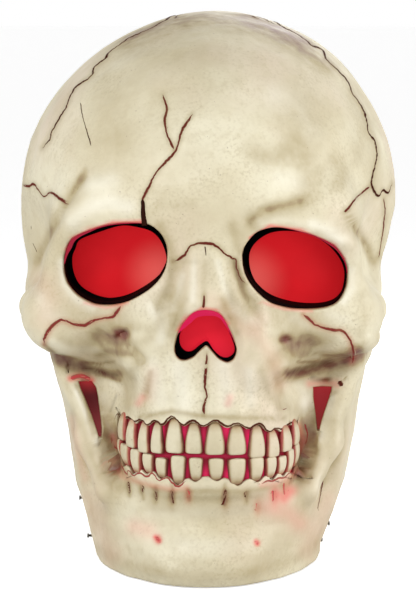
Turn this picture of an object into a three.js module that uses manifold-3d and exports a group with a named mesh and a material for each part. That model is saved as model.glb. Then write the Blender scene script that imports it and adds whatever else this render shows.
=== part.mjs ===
// Light-up skull decoration: a hollow skull in two moulded halves on a base plate, lit red from inside.
// Millimetres, +Z up, face towards -Y. The origin is on the ground, in the plane where the halves meet.
import * as THREE from 'three';
import { mergeVertices } from 'three/addons/utils/BufferGeometryUtils.js';
import Module from 'manifold-3d';

const wasm = await Module();
wasm.setup();

// Driving sizes of the skull
const BRAIN_HALF = [205, 236, 209]; // brain case: half width, half length, half height
const BRAIN_BACK = 16; // brain case centre, behind the seam
const BRAIN_UP = 380; // brain case centre, above the ground
const WALL = 3; // wall of both shells
const SEAM_GAP = 0.3; // gap between the two halves
const LIP_REACH = 15; // tongue of the rear shell inside the face shell
const LIP_THICK = 3;
const LIP_CLEARANCE = 0.8;
const SHELL_FOOT = 1.5; // lower edge of the shells, above the ground
const PANEL_BACK = 106; // flat panel at the back of the neck
const PANEL_TOP = 118;

const FIT = 0.3; // clearance between pieces that touch

// Base plate, feet and screws
const BASE_BOTTOM = 2;
const BASE_TOP = 5;
const FOOT_RADIUS = 10;
const FOOT_STEM = 3;
const FEET = [[-78, -120], [78, -120], [-62, 62], [62, 62]];
const POST_RADIUS = 5;
const POST_TALL = 24;
const WEB_REACH = 30; // web from a post to the wall
const FOOT_BARB = 1.2; // of a foot's stem, over the plate
const FOOT_TIP = 2;
const BASE_SCREWS = [[-92, -95], [92, -95], [-78, 50], [78, 50]];
const SCREW_RADIUS = 1.5;
const HOLE_RADIUS = SCREW_RADIUS + FIT;
const HEAD_RADIUS = 2.8;
const HEAD_TALL = 1.4;
const SCREW_LONG = 14;
const SIDE_SCREWS = [[-1, 56.5], [-1, 14], [1, 28.5], [1, 10.5]]; // side of the skull and height
const SIDE_SCREW_BACK = -7;
const SIDE_SCREW_LONG = 12;
const SIDE_HOLE = [60, 200]; // ends of its hole, from the middle
const SEAT_MARGIN = 1; // seat round a screw head
const HOLE_PAST = 2; // hole past the tip of its screw
const BLIND_SKIN = 0.7; // left over the end of a blind hole

// Battery box in the back panel, its hinged door and the switch
const CELL_RADIUS = 7.1;
const CELL_LONG = 50;
const CELL_PITCH = 15.6;
const CELL_ROOM = 1.3; // doorway above and below the cells
const CELL_END = 6; // doorway past each end of a cell, for the contacts
const CELLS_UP = 70; // middle of the battery box
const DOORWAY_HALF = CELL_LONG / 2 + CELL_END;
const DOORWAY_LOW = CELLS_UP - CELL_PITCH - CELL_RADIUS - CELL_ROOM;
const DOORWAY_HIGH = CELLS_UP + CELL_PITCH + CELL_RADIUS + CELL_ROOM;
const DOOR_LAP = 3; // door over the edge of the doorway
const DOOR_FOOT = 2; // lower edge of the door, under the doorway
const DOOR_THICK = 2.4;
const PIN_RADIUS = 1.2;
const KNUCKLE_RADIUS = 2.8;
const PIN_DROP = 6; // hinge pin under the doorway
const PIN_UP = DOORWAY_LOW - PIN_DROP;
const PIN_BACK = PANEL_BACK + FIT + KNUCKLE_RADIUS;
const KNUCKLE_HALF = 28; // half length of the door's knuckle
const EAR_THICK = 3;
const LATCH = [8, 3.6, 2]; // half width, reach into the doorway, height
const GRIP_PITCH = 3;
const GRIP_TALL = 1.4;
const GRIP_PROUD = 1;
const TRAY_WALL = 2;
const CELL_SLACK = 1.8; // room in front of and behind a cell
const TRAY_DEEP = 2 * CELL_RADIUS + TRAY_WALL + CELL_SLACK;
const FLANGE = 5;
const TRAY_SCREW_OUT = 1; // past the middle of the flange
const PEG_IN = [18, 8]; // pegs for the control board: from the middle, and inside the doorway's edge
const PEG_RADIUS = 2;
const PEG_TALL = 2;
const CELL_NUB = [2.7, 1.2]; // radius and height of a cell's contact nub
const CONTACT_THICK = 0.5;
const SPRING_RADII = [3.6, 2.2]; // at the contact plate and at the cell
const CONTROL_HALF = 22;
const CONTROL_MARGIN = 3; // board inside the doorway's height
const CHIP_HALF = [7, 5];
const CHIP_TALL = 2;
const CAN_ACROSS = 12;
const CAN_RADIUS = 3;
const CAN_TALL = 7;
const SWITCH_ACROSS = 58; // middle of the switch from the middle of the panel
const SWITCH_UP = 70;
const SWITCH_HALF = [6, 11];
const SWITCH_DEEP = 9;
const SLIDER_HALF = [2, 3];
const SLIDER_PROUD = 3.5;
const SLIDER_TRAVEL = 6;

// Light traps, lenses and lamps
const TRAP_WALL = 2;
const TRAP_LAP = 1.5; // bore of a light trap, outside the opening of the shell
const EYE_CUP_BACK = -112;
const EYE_LENS_EDGE = -128;
const LENS_THICK = 2.4;
const LENS_BULGE = 12;
const NOSE_CUP_BACK = -198;
const NOSE_LENS_FRONT = -214;
const BOARD_THICK = 1.6;
const LAMP_RADIUS = 2.5;
const LAMP_LONG = 6;
const LAMP_FOOT = [0.5, 1]; // flange of a lamp: margin and height
const FRAME_THICK = 3;
const FRAME_HALF = 12;
const FRAME_FOOT = [24, 12]; // half width and height
const HEEL_HALF = 8; // half depth of its foot
const ARM_HALF = [5, 3]; // arms to the nose and the mouth: half width and half height
const FRAME_SCREWS = 16; // from the middle
const MOUTH_BOARD_FRONT = -200;
const MOUTH_BOARD_HALF = [40, 8];
const MOUTH_LENS_LAP = 8; // lens behind the gums
const WIRE_RADIUS = 0.9;
const FRAME_WIRE_OUT = 9; // wires along the frame, from its middle
// Ways of the wires: across, then depth or distance from a piece, then height over a piece
const BOARD_WIRE = [[15, 0.6, 8], [15, 6, 7], [15, 12, -12]];
const FLOOR_WIRE = [[15, 62, 12], [18, 52, 4], [24, 34, 1.2], [34, 0, FIT], [34, -60, FIT]];
const HEEL_WIRE = [[30, 6, FIT], [28, -8, 2]];
const RISING_WIRE = [[27, 0, -4.8], [18, 1, 6], [10, -4.2, 24]];
const EYE_WIRE = [[6, -22], [8, -14], [18, -3]]; // across, and over the middle of the eyes
const EYE_WIRE_END = 26;
const ARM_WIRE = [[0, -24], [0, -12], [4, -1], [16, 0]]; // in front of the frame, and over the arm's middle
const ARM_WIRE_END = 8;
const SWITCH_WIRE = [[47, 94], [42, 86]]; // across and depth
const SWITCH_WIRE_BEND = 12; // beside the control board

// Openings of the face
const EYE_ACROSS = 92; // middle of an eye from the middle of the face
const EYE_UP = 334.5;
const EYE_HALF = [53, 41.5]; // half width and half height of the opening
const EYE_TILT = 0.1; // radians, outer end lower
const NOSE_UP = 262;
const NOSE_HALF = [31.5, 27.5];
const MOUTH_LOW = 113;
const MOUTH_HIGH = 173;
const BITE_UP = 142; // where upper and lower teeth meet
const SLOT_UP = [145, 218]; // slot beside the upper jaw: tip and top
const SLOT_ACROSS = [114, 133];
const SLOT_TIP_ACROSS = 111;
const SLOT_BACK = -60;

// Dental arch: an ellipse seen from above
const ARCH_BACK = -125;
const ARCH_HALF = [101, 118];
const GUM_BACK = 7; // gum behind the tooth faces
const TOOTH_THICK = 9;
const TOOTH_SLIT = 3.4; // between the two rows
const TOOTH_SINK = 6; // root end inside the gum
const TOOTH_GAP = 0.6; // between neighbours
const TOOTH_ROUND = [1.6, 1.4]; // crown drawn in at its sides and at its biting edge
const TOOTH_RISE = [0.4, 0.3]; // each tooth's edge over its neighbour's: upper row, lower row
const UPPER_EDGES = [0.4, 22.5, 43, 63, 79, 91, 99.6]; // tooth ends along the arch, from the middle out
const LOWER_EDGES = [0.4, 19, 38, 55, 70, 83, 92.5, 99.6];

// Outline of the lower jaw seen from the front: height, half width
const JAW_UP = [0, 26, 57, 81, 134, 187, 250];
const JAW_HALF = [116, 126, 135, 143, 153, 164, 174];
// Outline of the lower jaw seen from the side: height, reach in front of the jaw's centre line
const CHIN_UP = [0, 14, 36, 62, 104];
const CHIN_REACH = [170, 180, 182, 174, 184];

// Bodies that blend into the skull: points are across, depth and height, on one side of the middle.
// A column's centre is a depth, its reach the distance in front of that centre.
const FOREHEAD_AT = [0, -84, 400];
const FOREHEAD_HALF = [136, 148, 140];
const MASK_CENTRE = -85; // the mask carries the eyes
const MASK_HALF = 174;
const MASK_REACH = 144;
const MASK_SPAN = [246, 372];
const MASK_BACK = -138;
const MASK_DEEPER = 330; // below this height the mask runs further back
const BROW = [[60, -200, 388], [122, -176, 386]];
const BROW_RADII = [13, 14];
const BROW_END = [[124, -174, 382], [156, -142, 334]]; // turns down beside the eye
const BROW_END_RADII = [13, 15];
const TEMPLE_AT = [220, -108, 336]; // hollow of the temple
const TEMPLE_HALF = [48, 60, 50];
const CHEEK_AT = [146, -144, 272];
const CHEEK_HALF = [42, 35, 34];
const CHEEK_ARCH = [[166, -122, 272], [178, -80, 276], [176, 12, 286]];
const CHEEK_ARCH_RADII = [21, 15, 14];
const UNDER_CHEEK_AT = [118, -176, 206]; // hollow under the cheek
const UNDER_CHEEK_HALF = [24, 46, 26];
const UPPER_JAW_CENTRE = -112;
const UPPER_JAW_HALF = 97;
const UPPER_JAW_WIDER = 198; // above this height it widens
const UPPER_JAW_REACH = 125;
const JAW_LAP = 16; // upper jaw up into the mask
const UPPER_JAW_SPAN = [150, MASK_SPAN[0] + JAW_LAP];
const UPPER_JAW_BACK = -40;
const NOSE_ROOT = 104; // upper end of the ridge, over the middle of the nose
const NOSE_TIP = 38;
const NOSE_RIDGE = [[0, -204, NOSE_UP + NOSE_ROOT], [0, -233, NOSE_UP + NOSE_TIP]];
const NOSE_RIDGE_RADII = [10, 17];
const NOSE_SIDE_SPAN = [74, -22];
const NOSE_SIDE = [[27, -206, NOSE_UP + NOSE_SIDE_SPAN[0]], [54, -206, NOSE_UP + NOSE_SIDE_SPAN[1]]];
const NOSE_SIDE_RADII = [13, 20];
const INNER_WALL_IN = 24; // inside the outline of the lower jaw
const INNER_WALL_CENTRE = -62;
const INNER_WALL_REACH = [86, 150]; // in front and behind
const INNER_WALL_SPAN = [50, 290];
const BRANCH_THICK = 30;
const BRANCH_SPAN = [30, 236];
const BRANCH_DEPTH = [-92, 14]; // its front and back edge at BRANCH_TURN
const BRANCH_TURN = 90;
const JAW_RIDGE = [[147, -98, 208], [126, -122, 140], [106, -152, 92]];
const JAW_RIDGE_RADII = [9, 10, 12];
const LOWER_JAW_CENTRE = -50;
const LOWER_JAW_IN = 2; // inside the outline of the lower jaw
const LOWER_JAW_TOP = 108;
const LOWER_JAW_BACK = 14;
const TAPER_HALF = 146;
const TAPER_FROM = 52; // above this height the front of the lower jaw narrows
const TAPER_REACH = 6; // in front of the chin line
const CHIN_AT = [0, -198, 26];
const CHIN_HALF = [56, 37, 27];
const BED_REACH = 18; // bone above and below the mouth that follows the dental arch
const NECK_UP = [0, 60, 200];
const NECK_HALF = [98, 108, 140];
const NAPE_UP = [0, 110, 150, 200, 250];
const NAPE_REACH = [128, 126, 138, 164, 190];
const NECK_FRONT = 120;
const NECK_TOP = 260;

// How far the edges of a body are rounded
const ROUND = {
  mask: 84, maskBack: 34, brow: 34, cheek: 24, cheekArch: 20, upperJaw: 30, upperJawBack: 20, noseBones: 30,
  innerWall: 24, branch: 16, branchEdges: 20, jawRidge: 30, lowerJaw: 12, taper: 30, lowerJawBack: 16,
  neck: 20, bed: 12,
};
// How far a body's blend into the rest spreads
const BLEND = {
  forehead: 70, mask: 46, brow: 44, temple: 50, cheek: 30, upperJaw: 36, noseBones: 30, innerWall: 26,
  branch: 16, jawRidge: 18, lowerJaw: 20, chin: 26, bed: 6, neck: 64, underCheek: 36, panel: 10,
};

// Blended bodies. Each distance is negative inside.
const clamp = (value, low, high) => Math.min(Math.max(value, low), high);
const above = (value, start) => Math.max(value - start, 0);

function join(a, b, blend) {
  const h = above(blend, Math.abs(a - b)) / blend;
  return Math.min(a, b) - (h * h * blend) / 4;
}

const meet = (a, b, blend) => -join(-a, -b, blend);

function ellipsoid(p, centre, half) {
  const q = [0, 1, 2].map((i) => (p[i] - centre[i]) / half[i]);
  const k = Math.hypot(...q);
  return (k * (k - 1)) / (Math.hypot(q[0] / half[0], q[1] / half[1], q[2] / half[2]) + 1e-9);
}

function rod(p, from, to, fromRadius, toRadius) {
  const along = to.map((v, i) => v - from[i]);
  const dot = along.reduce((sum, v, i) => sum + v * (p[i] - from[i]), 0);
  const h = clamp(dot / along.reduce((sum, v) => sum + v * v, 0), 0, 1);
  const off = p.map((v, i) => v - from[i] - h * along[i]);
  return Math.hypot(...off) - (fromRadius + (toRadius - fromRadius) * h);
}

// An upright column with an oval section: half width, reach in front of its centre and reach behind it
function column(x, y, centre, half, front, back) {
  const q = y - centre;
  const depth = q < 0 ? front : back;
  const k = Math.hypot(x / half, q / depth) + 1e-9;
  return (k * (k - 1)) / (Math.hypot(x / half ** 2, q / depth ** 2) + 1e-9);
}

const slab = (value, low, high) => Math.max(low - value, value - high);

function along(list, values, at) {
  let i = 0;
  while (i < list.length - 2 && at > list[i + 1]) i += 1;
  const share = clamp((at - list[i]) / (list[i + 1] - list[i]), 0, 1);
  return values[i] + share * (values[i + 1] - values[i]);
}

const FAR_BACK = 1e4; // a column that runs straight back
const UNDER_GROUND = -40; // lower end of the bodies that reach the ground

function brainCase(p) {
  const body = ellipsoid(p, [0, BRAIN_BACK, BRAIN_UP], BRAIN_HALF);
  return join(body, ellipsoid(p, FOREHEAD_AT, FOREHEAD_HALF), BLEND.forehead);
}

function mask(p) {
  const [x, y, z] = p;
  const front = column(x, y, MASK_CENTRE, MASK_HALF, MASK_REACH, FAR_BACK);
  const back = y - MASK_BACK - 0.34 * above(MASK_DEEPER, z);
  return meet(meet(front, slab(z, ...MASK_SPAN), ROUND.mask), back, ROUND.maskBack);
}

const brow = (p) => join(rod(p, ...BROW, ...BROW_RADII), rod(p, ...BROW_END, ...BROW_END_RADII), ROUND.brow);

function cheek(p) {
  const [start, bend, end] = CHEEK_ARCH;
  const radii = CHEEK_ARCH_RADII;
  const bone = join(ellipsoid(p, CHEEK_AT, CHEEK_HALF), rod(p, start, bend, radii[0], radii[1]), ROUND.cheek);
  return join(bone, rod(p, bend, end, radii[1], radii[2]), ROUND.cheekArch);
}

function upperJaw(p) {
  const [x, y, z] = p;
  const half = UPPER_JAW_HALF + 0.34 * above(z, UPPER_JAW_WIDER);
  const front = column(x, y, UPPER_JAW_CENTRE, half, UPPER_JAW_REACH, FAR_BACK);
  const jaw = meet(front, slab(z, ...UPPER_JAW_SPAN), ROUND.upperJaw);
  return meet(jaw, y - UPPER_JAW_BACK, ROUND.upperJawBack);
}

function noseBones(p) {
  const ridge = rod(p, ...NOSE_RIDGE, ...NOSE_RIDGE_RADII);
  return join(ridge, rod(p, ...NOSE_SIDE, ...NOSE_SIDE_RADII), ROUND.noseBones);
}

// The wall that closes the space between the jaws and the branches of the lower jaw
function innerWall(p) {
  const [x, y, z] = p;
  const half = along(JAW_UP, JAW_HALF, z) - INNER_WALL_IN;
  const wall = column(x, y, INNER_WALL_CENTRE, half, ...INNER_WALL_REACH);
  return meet(wall, slab(z, ...INNER_WALL_SPAN), ROUND.innerWall);
}

function jawBranch(p) {
  const [x, y, z] = p;
  const out = along(JAW_UP, JAW_HALF, z) + 0.07 * Math.min(y, 0);
  const plate = meet(Math.max(x - out, out - BRANCH_THICK - x), slab(z, ...BRANCH_SPAN), ROUND.branch);
  const [front, back] = BRANCH_DEPTH;
  const edges = slab(y + 0.14 * (z - BRANCH_TURN), front, back + 0.25 * above(z, BRANCH_TURN));
  return meet(plate, edges, ROUND.branchEdges);
}

function jawRidge(p) {
  const [start, bend, end] = JAW_RIDGE;
  const radii = JAW_RIDGE_RADII;
  return join(rod(p, start, bend, radii[0], radii[1]), rod(p, bend, end, radii[1], radii[2]), ROUND.jawRidge);
}

function lowerJaw(p) {
  const [x, y, z] = p;
  const half = along(JAW_UP, JAW_HALF, z) - LOWER_JAW_IN;
  const chin = along(CHIN_UP, CHIN_REACH, z);
  const span = slab(z, UNDER_GROUND, LOWER_JAW_TOP);
  const body = meet(column(x, y, LOWER_JAW_CENTRE, half, chin, FAR_BACK), span, ROUND.lowerJaw);
  const narrow = TAPER_HALF - 0.62 * above(z, TAPER_FROM);
  const taper = column(x, y, LOWER_JAW_CENTRE, narrow, chin + TAPER_REACH, FAR_BACK);
  return meet(meet(body, taper, ROUND.taper), y - LOWER_JAW_BACK, ROUND.lowerJawBack);
}

function neck(p) {
  const [x, y, z] = p;
  const half = along(NECK_UP, NECK_HALF, z);
  const back = along(NAPE_UP, NAPE_REACH, z);
  return meet(column(x, y, 0, half, NECK_FRONT, back), slab(z, UNDER_GROUND, NECK_TOP), ROUND.neck);
}

// The strip of jaw that carries the teeth
function toothBed(p) {
  const [x, y, z] = p;
  const [half, front] = ARCH_HALF.map((v) => v - GUM_BACK);
  const span = slab(z, MOUTH_LOW - BED_REACH, MOUTH_HIGH + BED_REACH);
  return meet(column(x, y, ARCH_BACK, half, front, FAR_BACK), span, ROUND.bed);
}

// Signed distance to the skull's outer surface
function skull(x, y, z) {
  const p = [Math.abs(x), y, z];
  let body = brainCase(p);
  body = join(body, mask(p), BLEND.mask);
  body = join(body, brow(p), BLEND.brow);
  body = meet(body, -ellipsoid(p, TEMPLE_AT, TEMPLE_HALF), BLEND.temple);
  body = join(body, cheek(p), BLEND.cheek);
  body = join(body, upperJaw(p), BLEND.upperJaw);
  body = join(body, noseBones(p), BLEND.noseBones);
  body = join(body, innerWall(p), BLEND.innerWall);
  body = join(body, jawBranch(p), BLEND.branch);
  body = join(body, jawRidge(p), BLEND.jawRidge);
  body = join(body, lowerJaw(p), BLEND.lowerJaw);
  body = join(body, ellipsoid(p, CHIN_AT, CHIN_HALF), BLEND.chin);
  body = join(body, toothBed(p), BLEND.bed);
  body = join(body, neck(p), BLEND.neck);
  body = meet(body, -ellipsoid(p, UNDER_CHEEK_AT, UNDER_CHEEK_HALF), BLEND.underCheek);
  return meet(body, y - PANEL_BACK - 0.9 * above(z, PANEL_TOP), BLEND.panel);
}

const FAR_OUT = 1.4 * Math.max(...BRAIN_HALF) - 0.4; // past the surface, from any point of the axis

// Distance from a point of the axis, along a ray, to the surface sunk by an inset
function reach(origin, direction, inset) {
  let t = FAR_OUT;
  const at = (d) => skull(...origin.map((v, i) => v + direction[i] * d)) + inset;
  let step = at(t);
  while (step > 0 && t > 5) {
    t -= Math.max(step * 0.6, 0.5);
    step = at(t);
  }
  let [inside, outside] = [t, t + 6];
  for (let i = 0; i < 14; i += 1) {
    const middle = (inside + outside) / 2;
    if (at(middle) > 0) outside = middle;
    else inside = middle;
  }
  return inside;
}

// Grid of rays from the upright axis: level rays up to the middle of the brain case, then a fan over the dome
const FRONT_COLUMNS = 34;
const REAR_COLUMNS = 12;
const LEVEL_ROWS = 22;
const DOME_ROWS = 5;

const columnAngles = [
  ...Array.from({ length: FRONT_COLUMNS }, (_, i) => -Math.PI + (Math.PI * i) / FRONT_COLUMNS),
  ...Array.from({ length: REAR_COLUMNS }, (_, i) => (Math.PI * i) / REAR_COLUMNS),
];

function solidOf(geometry) {
  const bare = geometry.clone();
  bare.deleteAttribute('normal');
  bare.deleteAttribute('uv');
  const merged = mergeVertices(bare, 1e-4);
  const vertProperties = new Float32Array(merged.attributes.position.array);
  const triVerts = new Uint32Array(merged.index.array);
  const solid = new wasm.Manifold(new wasm.Mesh({ numProp: 3, vertProperties, triVerts }));
  return solid.volume() > 0 ? solid : new wasm.Manifold(new wasm.Mesh({
    numProp: 3, vertProperties, triVerts: triVerts.slice().reverse(),
  }));
}

function geometryOf(solid) {
  const { vertProperties, triVerts } = solid.getMesh();
  const geometry = new THREE.BufferGeometry();
  geometry.setAttribute('position', new THREE.BufferAttribute(vertProperties, 3));
  geometry.setIndex(new THREE.BufferAttribute(triVerts, 1));
  const flat = geometry.toNonIndexed();
  flat.computeVertexNormals();
  return flat;
}

// The solid inside the skull's surface sunk by an inset, from a lower end upwards
function core(inset, lowerEnd) {
  const rings = [];
  for (let row = 0; row <= LEVEL_ROWS; row += 1) {
    const z = SHELL_FOOT + ((BRAIN_UP - SHELL_FOOT) * row) / LEVEL_ROWS;
    rings.push(columnAngles.map((angle) => [[0, 0, z], [Math.cos(angle), Math.sin(angle), 0]]));
  }
  for (let row = 1; row < DOME_ROWS; row += 1) {
    const rise = (Math.PI * row) / (2 * DOME_ROWS);
    rings.push(columnAngles.map((angle) => {
      const level = Math.cos(rise);
      return [[0, 0, BRAIN_UP], [Math.cos(angle) * level, Math.sin(angle) * level, Math.sin(rise)]];
    }));
  }
  const points = rings.flat().map(([origin, direction]) => {
    const d = reach(origin, direction, inset);
    return origin.map((v, i) => v + direction[i] * d);
  });
  const count = columnAngles.length;
  const foot = points.slice(0, count).map(([x, y]) => [x, y, lowerEnd]);
  const all = [...foot, ...points];
  const top = all.push([0, 0, BRAIN_UP + reach([0, 0, BRAIN_UP], [0, 0, 1], inset)]) - 1;
  const bottom = all.push([0, 0, lowerEnd]) - 1;
  const faces = [];
  for (let row = 0; row < rings.length; row += 1) {
    for (let i = 0; i < count; i += 1) {
      const [a, b] = [row * count + i, row * count + ((i + 1) % count)];
      faces.push(a, b, a + count, b, b + count, a + count);
    }
  }
  const last = rings.length * count;
  for (let i = 0; i < count; i += 1) {
    faces.push(bottom, (i + 1) % count, i);
    faces.push(top, last + i, last + ((i + 1) % count));
  }
  const geometry = new THREE.BufferGeometry();
  geometry.setAttribute('position', new THREE.Float32BufferAttribute(all.flat(), 3));
  geometry.setIndex(faces);
  return solidOf(geometry);
}

// Plain bodies
const TURN = 2 * Math.PI;

const block = (x, y, z) => {
  const geometry = new THREE.BoxGeometry(x[1] - x[0], y[1] - y[0], z[1] - z[0]);
  geometry.translate((x[0] + x[1]) / 2, (y[0] + y[1]) / 2, (z[0] + z[1]) / 2);
  return solidOf(geometry);
};

const SEGMENTS = 12; // sides of a small round piece
const UPWARDS = new THREE.Vector3(0, 1, 0); // axis that three.js turns its bodies about

// A round bar between two points
function bar(from, to, radius, sides = SEGMENTS) {
  const [a, b] = [new THREE.Vector3(...from), new THREE.Vector3(...to)];
  const geometry = new THREE.CylinderGeometry(radius, radius, a.distanceTo(b), sides);
  geometry.applyQuaternion(new THREE.Quaternion().setFromUnitVectors(UPWARDS, b.clone().sub(a).normalize()));
  geometry.translate(...a.add(b).multiplyScalar(0.5).toArray());
  return solidOf(geometry);
}

// An outline in x and z, carried along y
function through(points, y) {
  const shape = new THREE.Shape(points.map(([x, z]) => new THREE.Vector2(x, z)));
  const geometry = new THREE.ExtrudeGeometry(shape, { depth: y[1] - y[0], bevelEnabled: false });
  geometry.rotateX(Math.PI / 2);
  geometry.translate(0, y[1], 0);
  return solidOf(geometry);
}

// An outline in x and y, carried upwards
function upright(points, z, holes = []) {
  const shape = new THREE.Shape(points.map(([x, y]) => new THREE.Vector2(x, y)));
  shape.holes = holes.map(([[x, y], radius]) => new THREE.Path().absarc(x, y, radius, 0, TURN, true));
  const settings = { depth: z[1] - z[0], bevelEnabled: false, curveSegments: 5 };
  const geometry = new THREE.ExtrudeGeometry(shape, settings);
  geometry.translate(0, 0, z[0]);
  return solidOf(geometry);
}

// A turned piece: a profile of radius and distance along its axis, from a point in a direction
function turned(profile, at, direction, sides = SEGMENTS) {
  const geometry = new THREE.LatheGeometry(profile.map(([r, d]) => new THREE.Vector2(r, d)), sides);
  const axis = new THREE.Vector3(...direction);
  geometry.applyQuaternion(new THREE.Quaternion().setFromUnitVectors(UPWARDS, axis));
  geometry.translate(...at);
  return solidOf(geometry);
}

const joined = (solids) => solids.reduce((sum, solid) => sum.add(solid));
const cutBy = (solid, tools) => tools.reduce((rest, tool) => rest.subtract(tool), solid);

// Outlines of the openings
const EYE_SIDES = 26;

function eyeOutline(side, grow) {
  return Array.from({ length: EYE_SIDES }, (_, i) => {
    const angle = (TURN * i) / EYE_SIDES;
    const [a, b] = [(EYE_HALF[0] + grow) * Math.cos(angle), (EYE_HALF[1] + grow) * Math.sin(angle)];
    const u = a * Math.cos(EYE_TILT) + b * Math.sin(EYE_TILT);
    const v = b * Math.cos(EYE_TILT) - a * Math.sin(EYE_TILT);
    return [side * (EYE_ACROSS + u), EYE_UP + v];
  });
}

// An upside-down heart: a narrow top, two round lobes and a spike of bone between them
function noseOutline(grow) {
  const [half, tall] = NOSE_HALF;
  const shape = new THREE.Shape();
  shape.moveTo(0, tall);
  shape.bezierCurveTo(half * 0.45, tall, half * 0.75, tall * 0.2, half, -tall * 0.3);
  shape.bezierCurveTo(half * 1.08, -tall * 0.75, half * 0.75, -tall, half * 0.5, -tall);
  shape.bezierCurveTo(half * 0.25, -tall, half * 0.1, -tall * 0.8, 0, -tall * 0.45);
  const right = shape.getPoints(7);
  const left = right.slice(1, -1).reverse().map((p) => new THREE.Vector2(-p.x, p.y));
  return [...right, ...left].map((p) => {
    const reachOut = 1 + grow / Math.hypot(half, tall);
    return [p.x * reachOut, NOSE_UP + p.y * reachOut];
  });
}

const DEEP = 2 * Math.max(...BRAIN_HALF); // past the whole skull
const MOUTH_TURN = 1.42; // radians of the arch that the mouth opens, each way

// Wedge between the upper jaw and the branch of the lower jaw
function slotOutline(side) {
  const [tip, top] = SLOT_UP;
  const [inner, outer] = SLOT_ACROSS;
  return [[inner, top], [SLOT_TIP_ACROSS, tip], [outer, top]].map(([x, z]) => [side * x, z]);
}

const archPoint = (angle, inward) => [
  (ARCH_HALF[0] - inward) * Math.sin(angle),
  ARCH_BACK - (ARCH_HALF[1] - inward) * Math.cos(angle),
];

// A tooth between two places along the arch, from its biting edge to its root
const TOOTH_COLUMNS = 3;
const TOOTH_ROWS = 3;

function tooth(side, ends, edge, root, narrowing) {
  const [a, b] = ends.map((x) => side * Math.asin(x / ARCH_HALF[0])).sort((p, q) => p - q);
  const points = [];
  for (let row = 0; row <= TOOTH_ROWS; row += 1) {
    const share = row / TOOTH_ROWS;
    const half = ((b - a) / 2) * (1 - narrowing * share ** 1.4);
    const faces = [[], []];
    for (let i = 0; i <= TOOTH_COLUMNS; i += 1) {
      const across = (2 * i) / TOOTH_COLUMNS - 1;
      const angle = (a + b) / 2 + half * across;
      const crown = TOOTH_ROUND[0] * across ** 4 + TOOTH_ROUND[1] * (1 - share) ** 4;
      const z = edge + (root - edge) * share;
      faces[0].push([...archPoint(angle, crown), z]);
      faces[1].unshift([...archPoint(angle, TOOTH_THICK), z]);
    }
    points.push(...faces[0], ...faces[1]);
  }
  const ring = 2 * (TOOTH_COLUMNS + 1);
  const index = [];
  const upwards = root > edge;
  const face = (p, q, r) => index.push(...(upwards ? [p, q, r] : [p, r, q]));
  for (let row = 0; row < TOOTH_ROWS; row += 1) {
    for (let i = 0; i < ring; i += 1) {
      const [p, q] = [row * ring + i, row * ring + ((i + 1) % ring)];
      face(p, q, p + ring);
      face(q, q + ring, p + ring);
    }
  }
  const top = TOOTH_ROWS * ring;
  for (let i = 0; i < TOOTH_COLUMNS; i += 1) {
    const [p, q] = [i, ring - 1 - i];
    face(p, q, p + 1);
    face(p + 1, q, q - 1);
    face(top + p, top + p + 1, top + q);
    face(top + p + 1, top + q - 1, top + q);
  }
  const geometry = new THREE.BufferGeometry();
  geometry.setAttribute('position', new THREE.Float32BufferAttribute(points.flat(), 3));
  geometry.setIndex(index);
  return solidOf(geometry);
}

const SLIT = TOOTH_SLIT / 2;
const NARROWING = [0.34, 0.3]; // share that a tooth loses towards its root: upper row, lower row
const pairs = (edges) => edges.slice(1).map((x, i) => [edges[i] + TOOTH_GAP / 2, x - TOOTH_GAP / 2]);
const upperTeeth = () => [-1, 1].flatMap((side) => pairs(UPPER_EDGES).map((ends, i) => (
  tooth(side, ends, BITE_UP + SLIT + i * TOOTH_RISE[0], MOUTH_HIGH + TOOTH_SINK, NARROWING[0]))));
const lowerTeeth = () => [-1, 1].flatMap((side) => pairs(LOWER_EDGES).map((ends, i) => (
  tooth(side, ends, BITE_UP - SLIT + i * TOOTH_RISE[1], MOUTH_LOW - TOOTH_SINK, NARROWING[1]))));

// Materials
const finish = (color, roughness, metalness = 0) => (
  new THREE.MeshStandardMaterial({ color, roughness, metalness }));
const ivory = finish(0xe6dcc4, 0.5);
const blackPlastic = finish(0x141211, 0.7);
const redClear = finish(0xc01818, 0.2);
const steel = finish(0x9a9a98, 0.35, 1);
const rubber = finish(0x1c1c1c, 0.9);
const boardGreen = finish(0x1d5a34, 0.6);
const cellWrap = finish(0x2b3a55, 0.4);
const redWire = finish(0xb02020, 0.6);
const blackWire = finish(0x151515, 0.6);

const group = new THREE.Group();
function add(name, solid, material) {
  const mesh = new THREE.Mesh(geometryOf(solid), material);
  mesh.name = name;
  group.add(mesh);
}

// Mouldings: the two halves, split at the seam, with a tongue of the rear half inside the front half
const outside = core(0, SHELL_FOOT);
const hollow = core(WALL, -DEEP);
const clearOfShell = core(WALL + FIT, -DEEP);
const shell = outside.subtract(hollow);
const inFront = (y) => block([-DEEP, DEEP], [-DEEP, y], [-DEEP, 2 * DEEP]);
const behind = (y) => block([-DEEP, DEEP], [y, DEEP], [-DEEP, 2 * DEEP]);

function frontCuts() {
  const mouth = Array.from({ length: 25 }, (_, i) => archPoint(((i - 12) / 12) * MOUTH_TURN, -GUM_BACK));
  return [
    ...[-1, 1].map((side) => through(eyeOutline(side, 0), [-DEEP, EYE_CUP_BACK])),
    ...[-1, 1].map((side) => through(slotOutline(side), [-DEEP, SLOT_BACK])),
    through(noseOutline(0), [-DEEP, NOSE_CUP_BACK]),
    upright(mouth, [MOUTH_LOW, MOUTH_HIGH]),
  ];
}

// Posts for the base screws, trimmed to the inside of the shell
const post = ([x, y]) => (
  bar([x, y, BASE_TOP + FIT], [x, y, BASE_TOP + POST_TALL], POST_RADIUS).intersect(outside));

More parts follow.
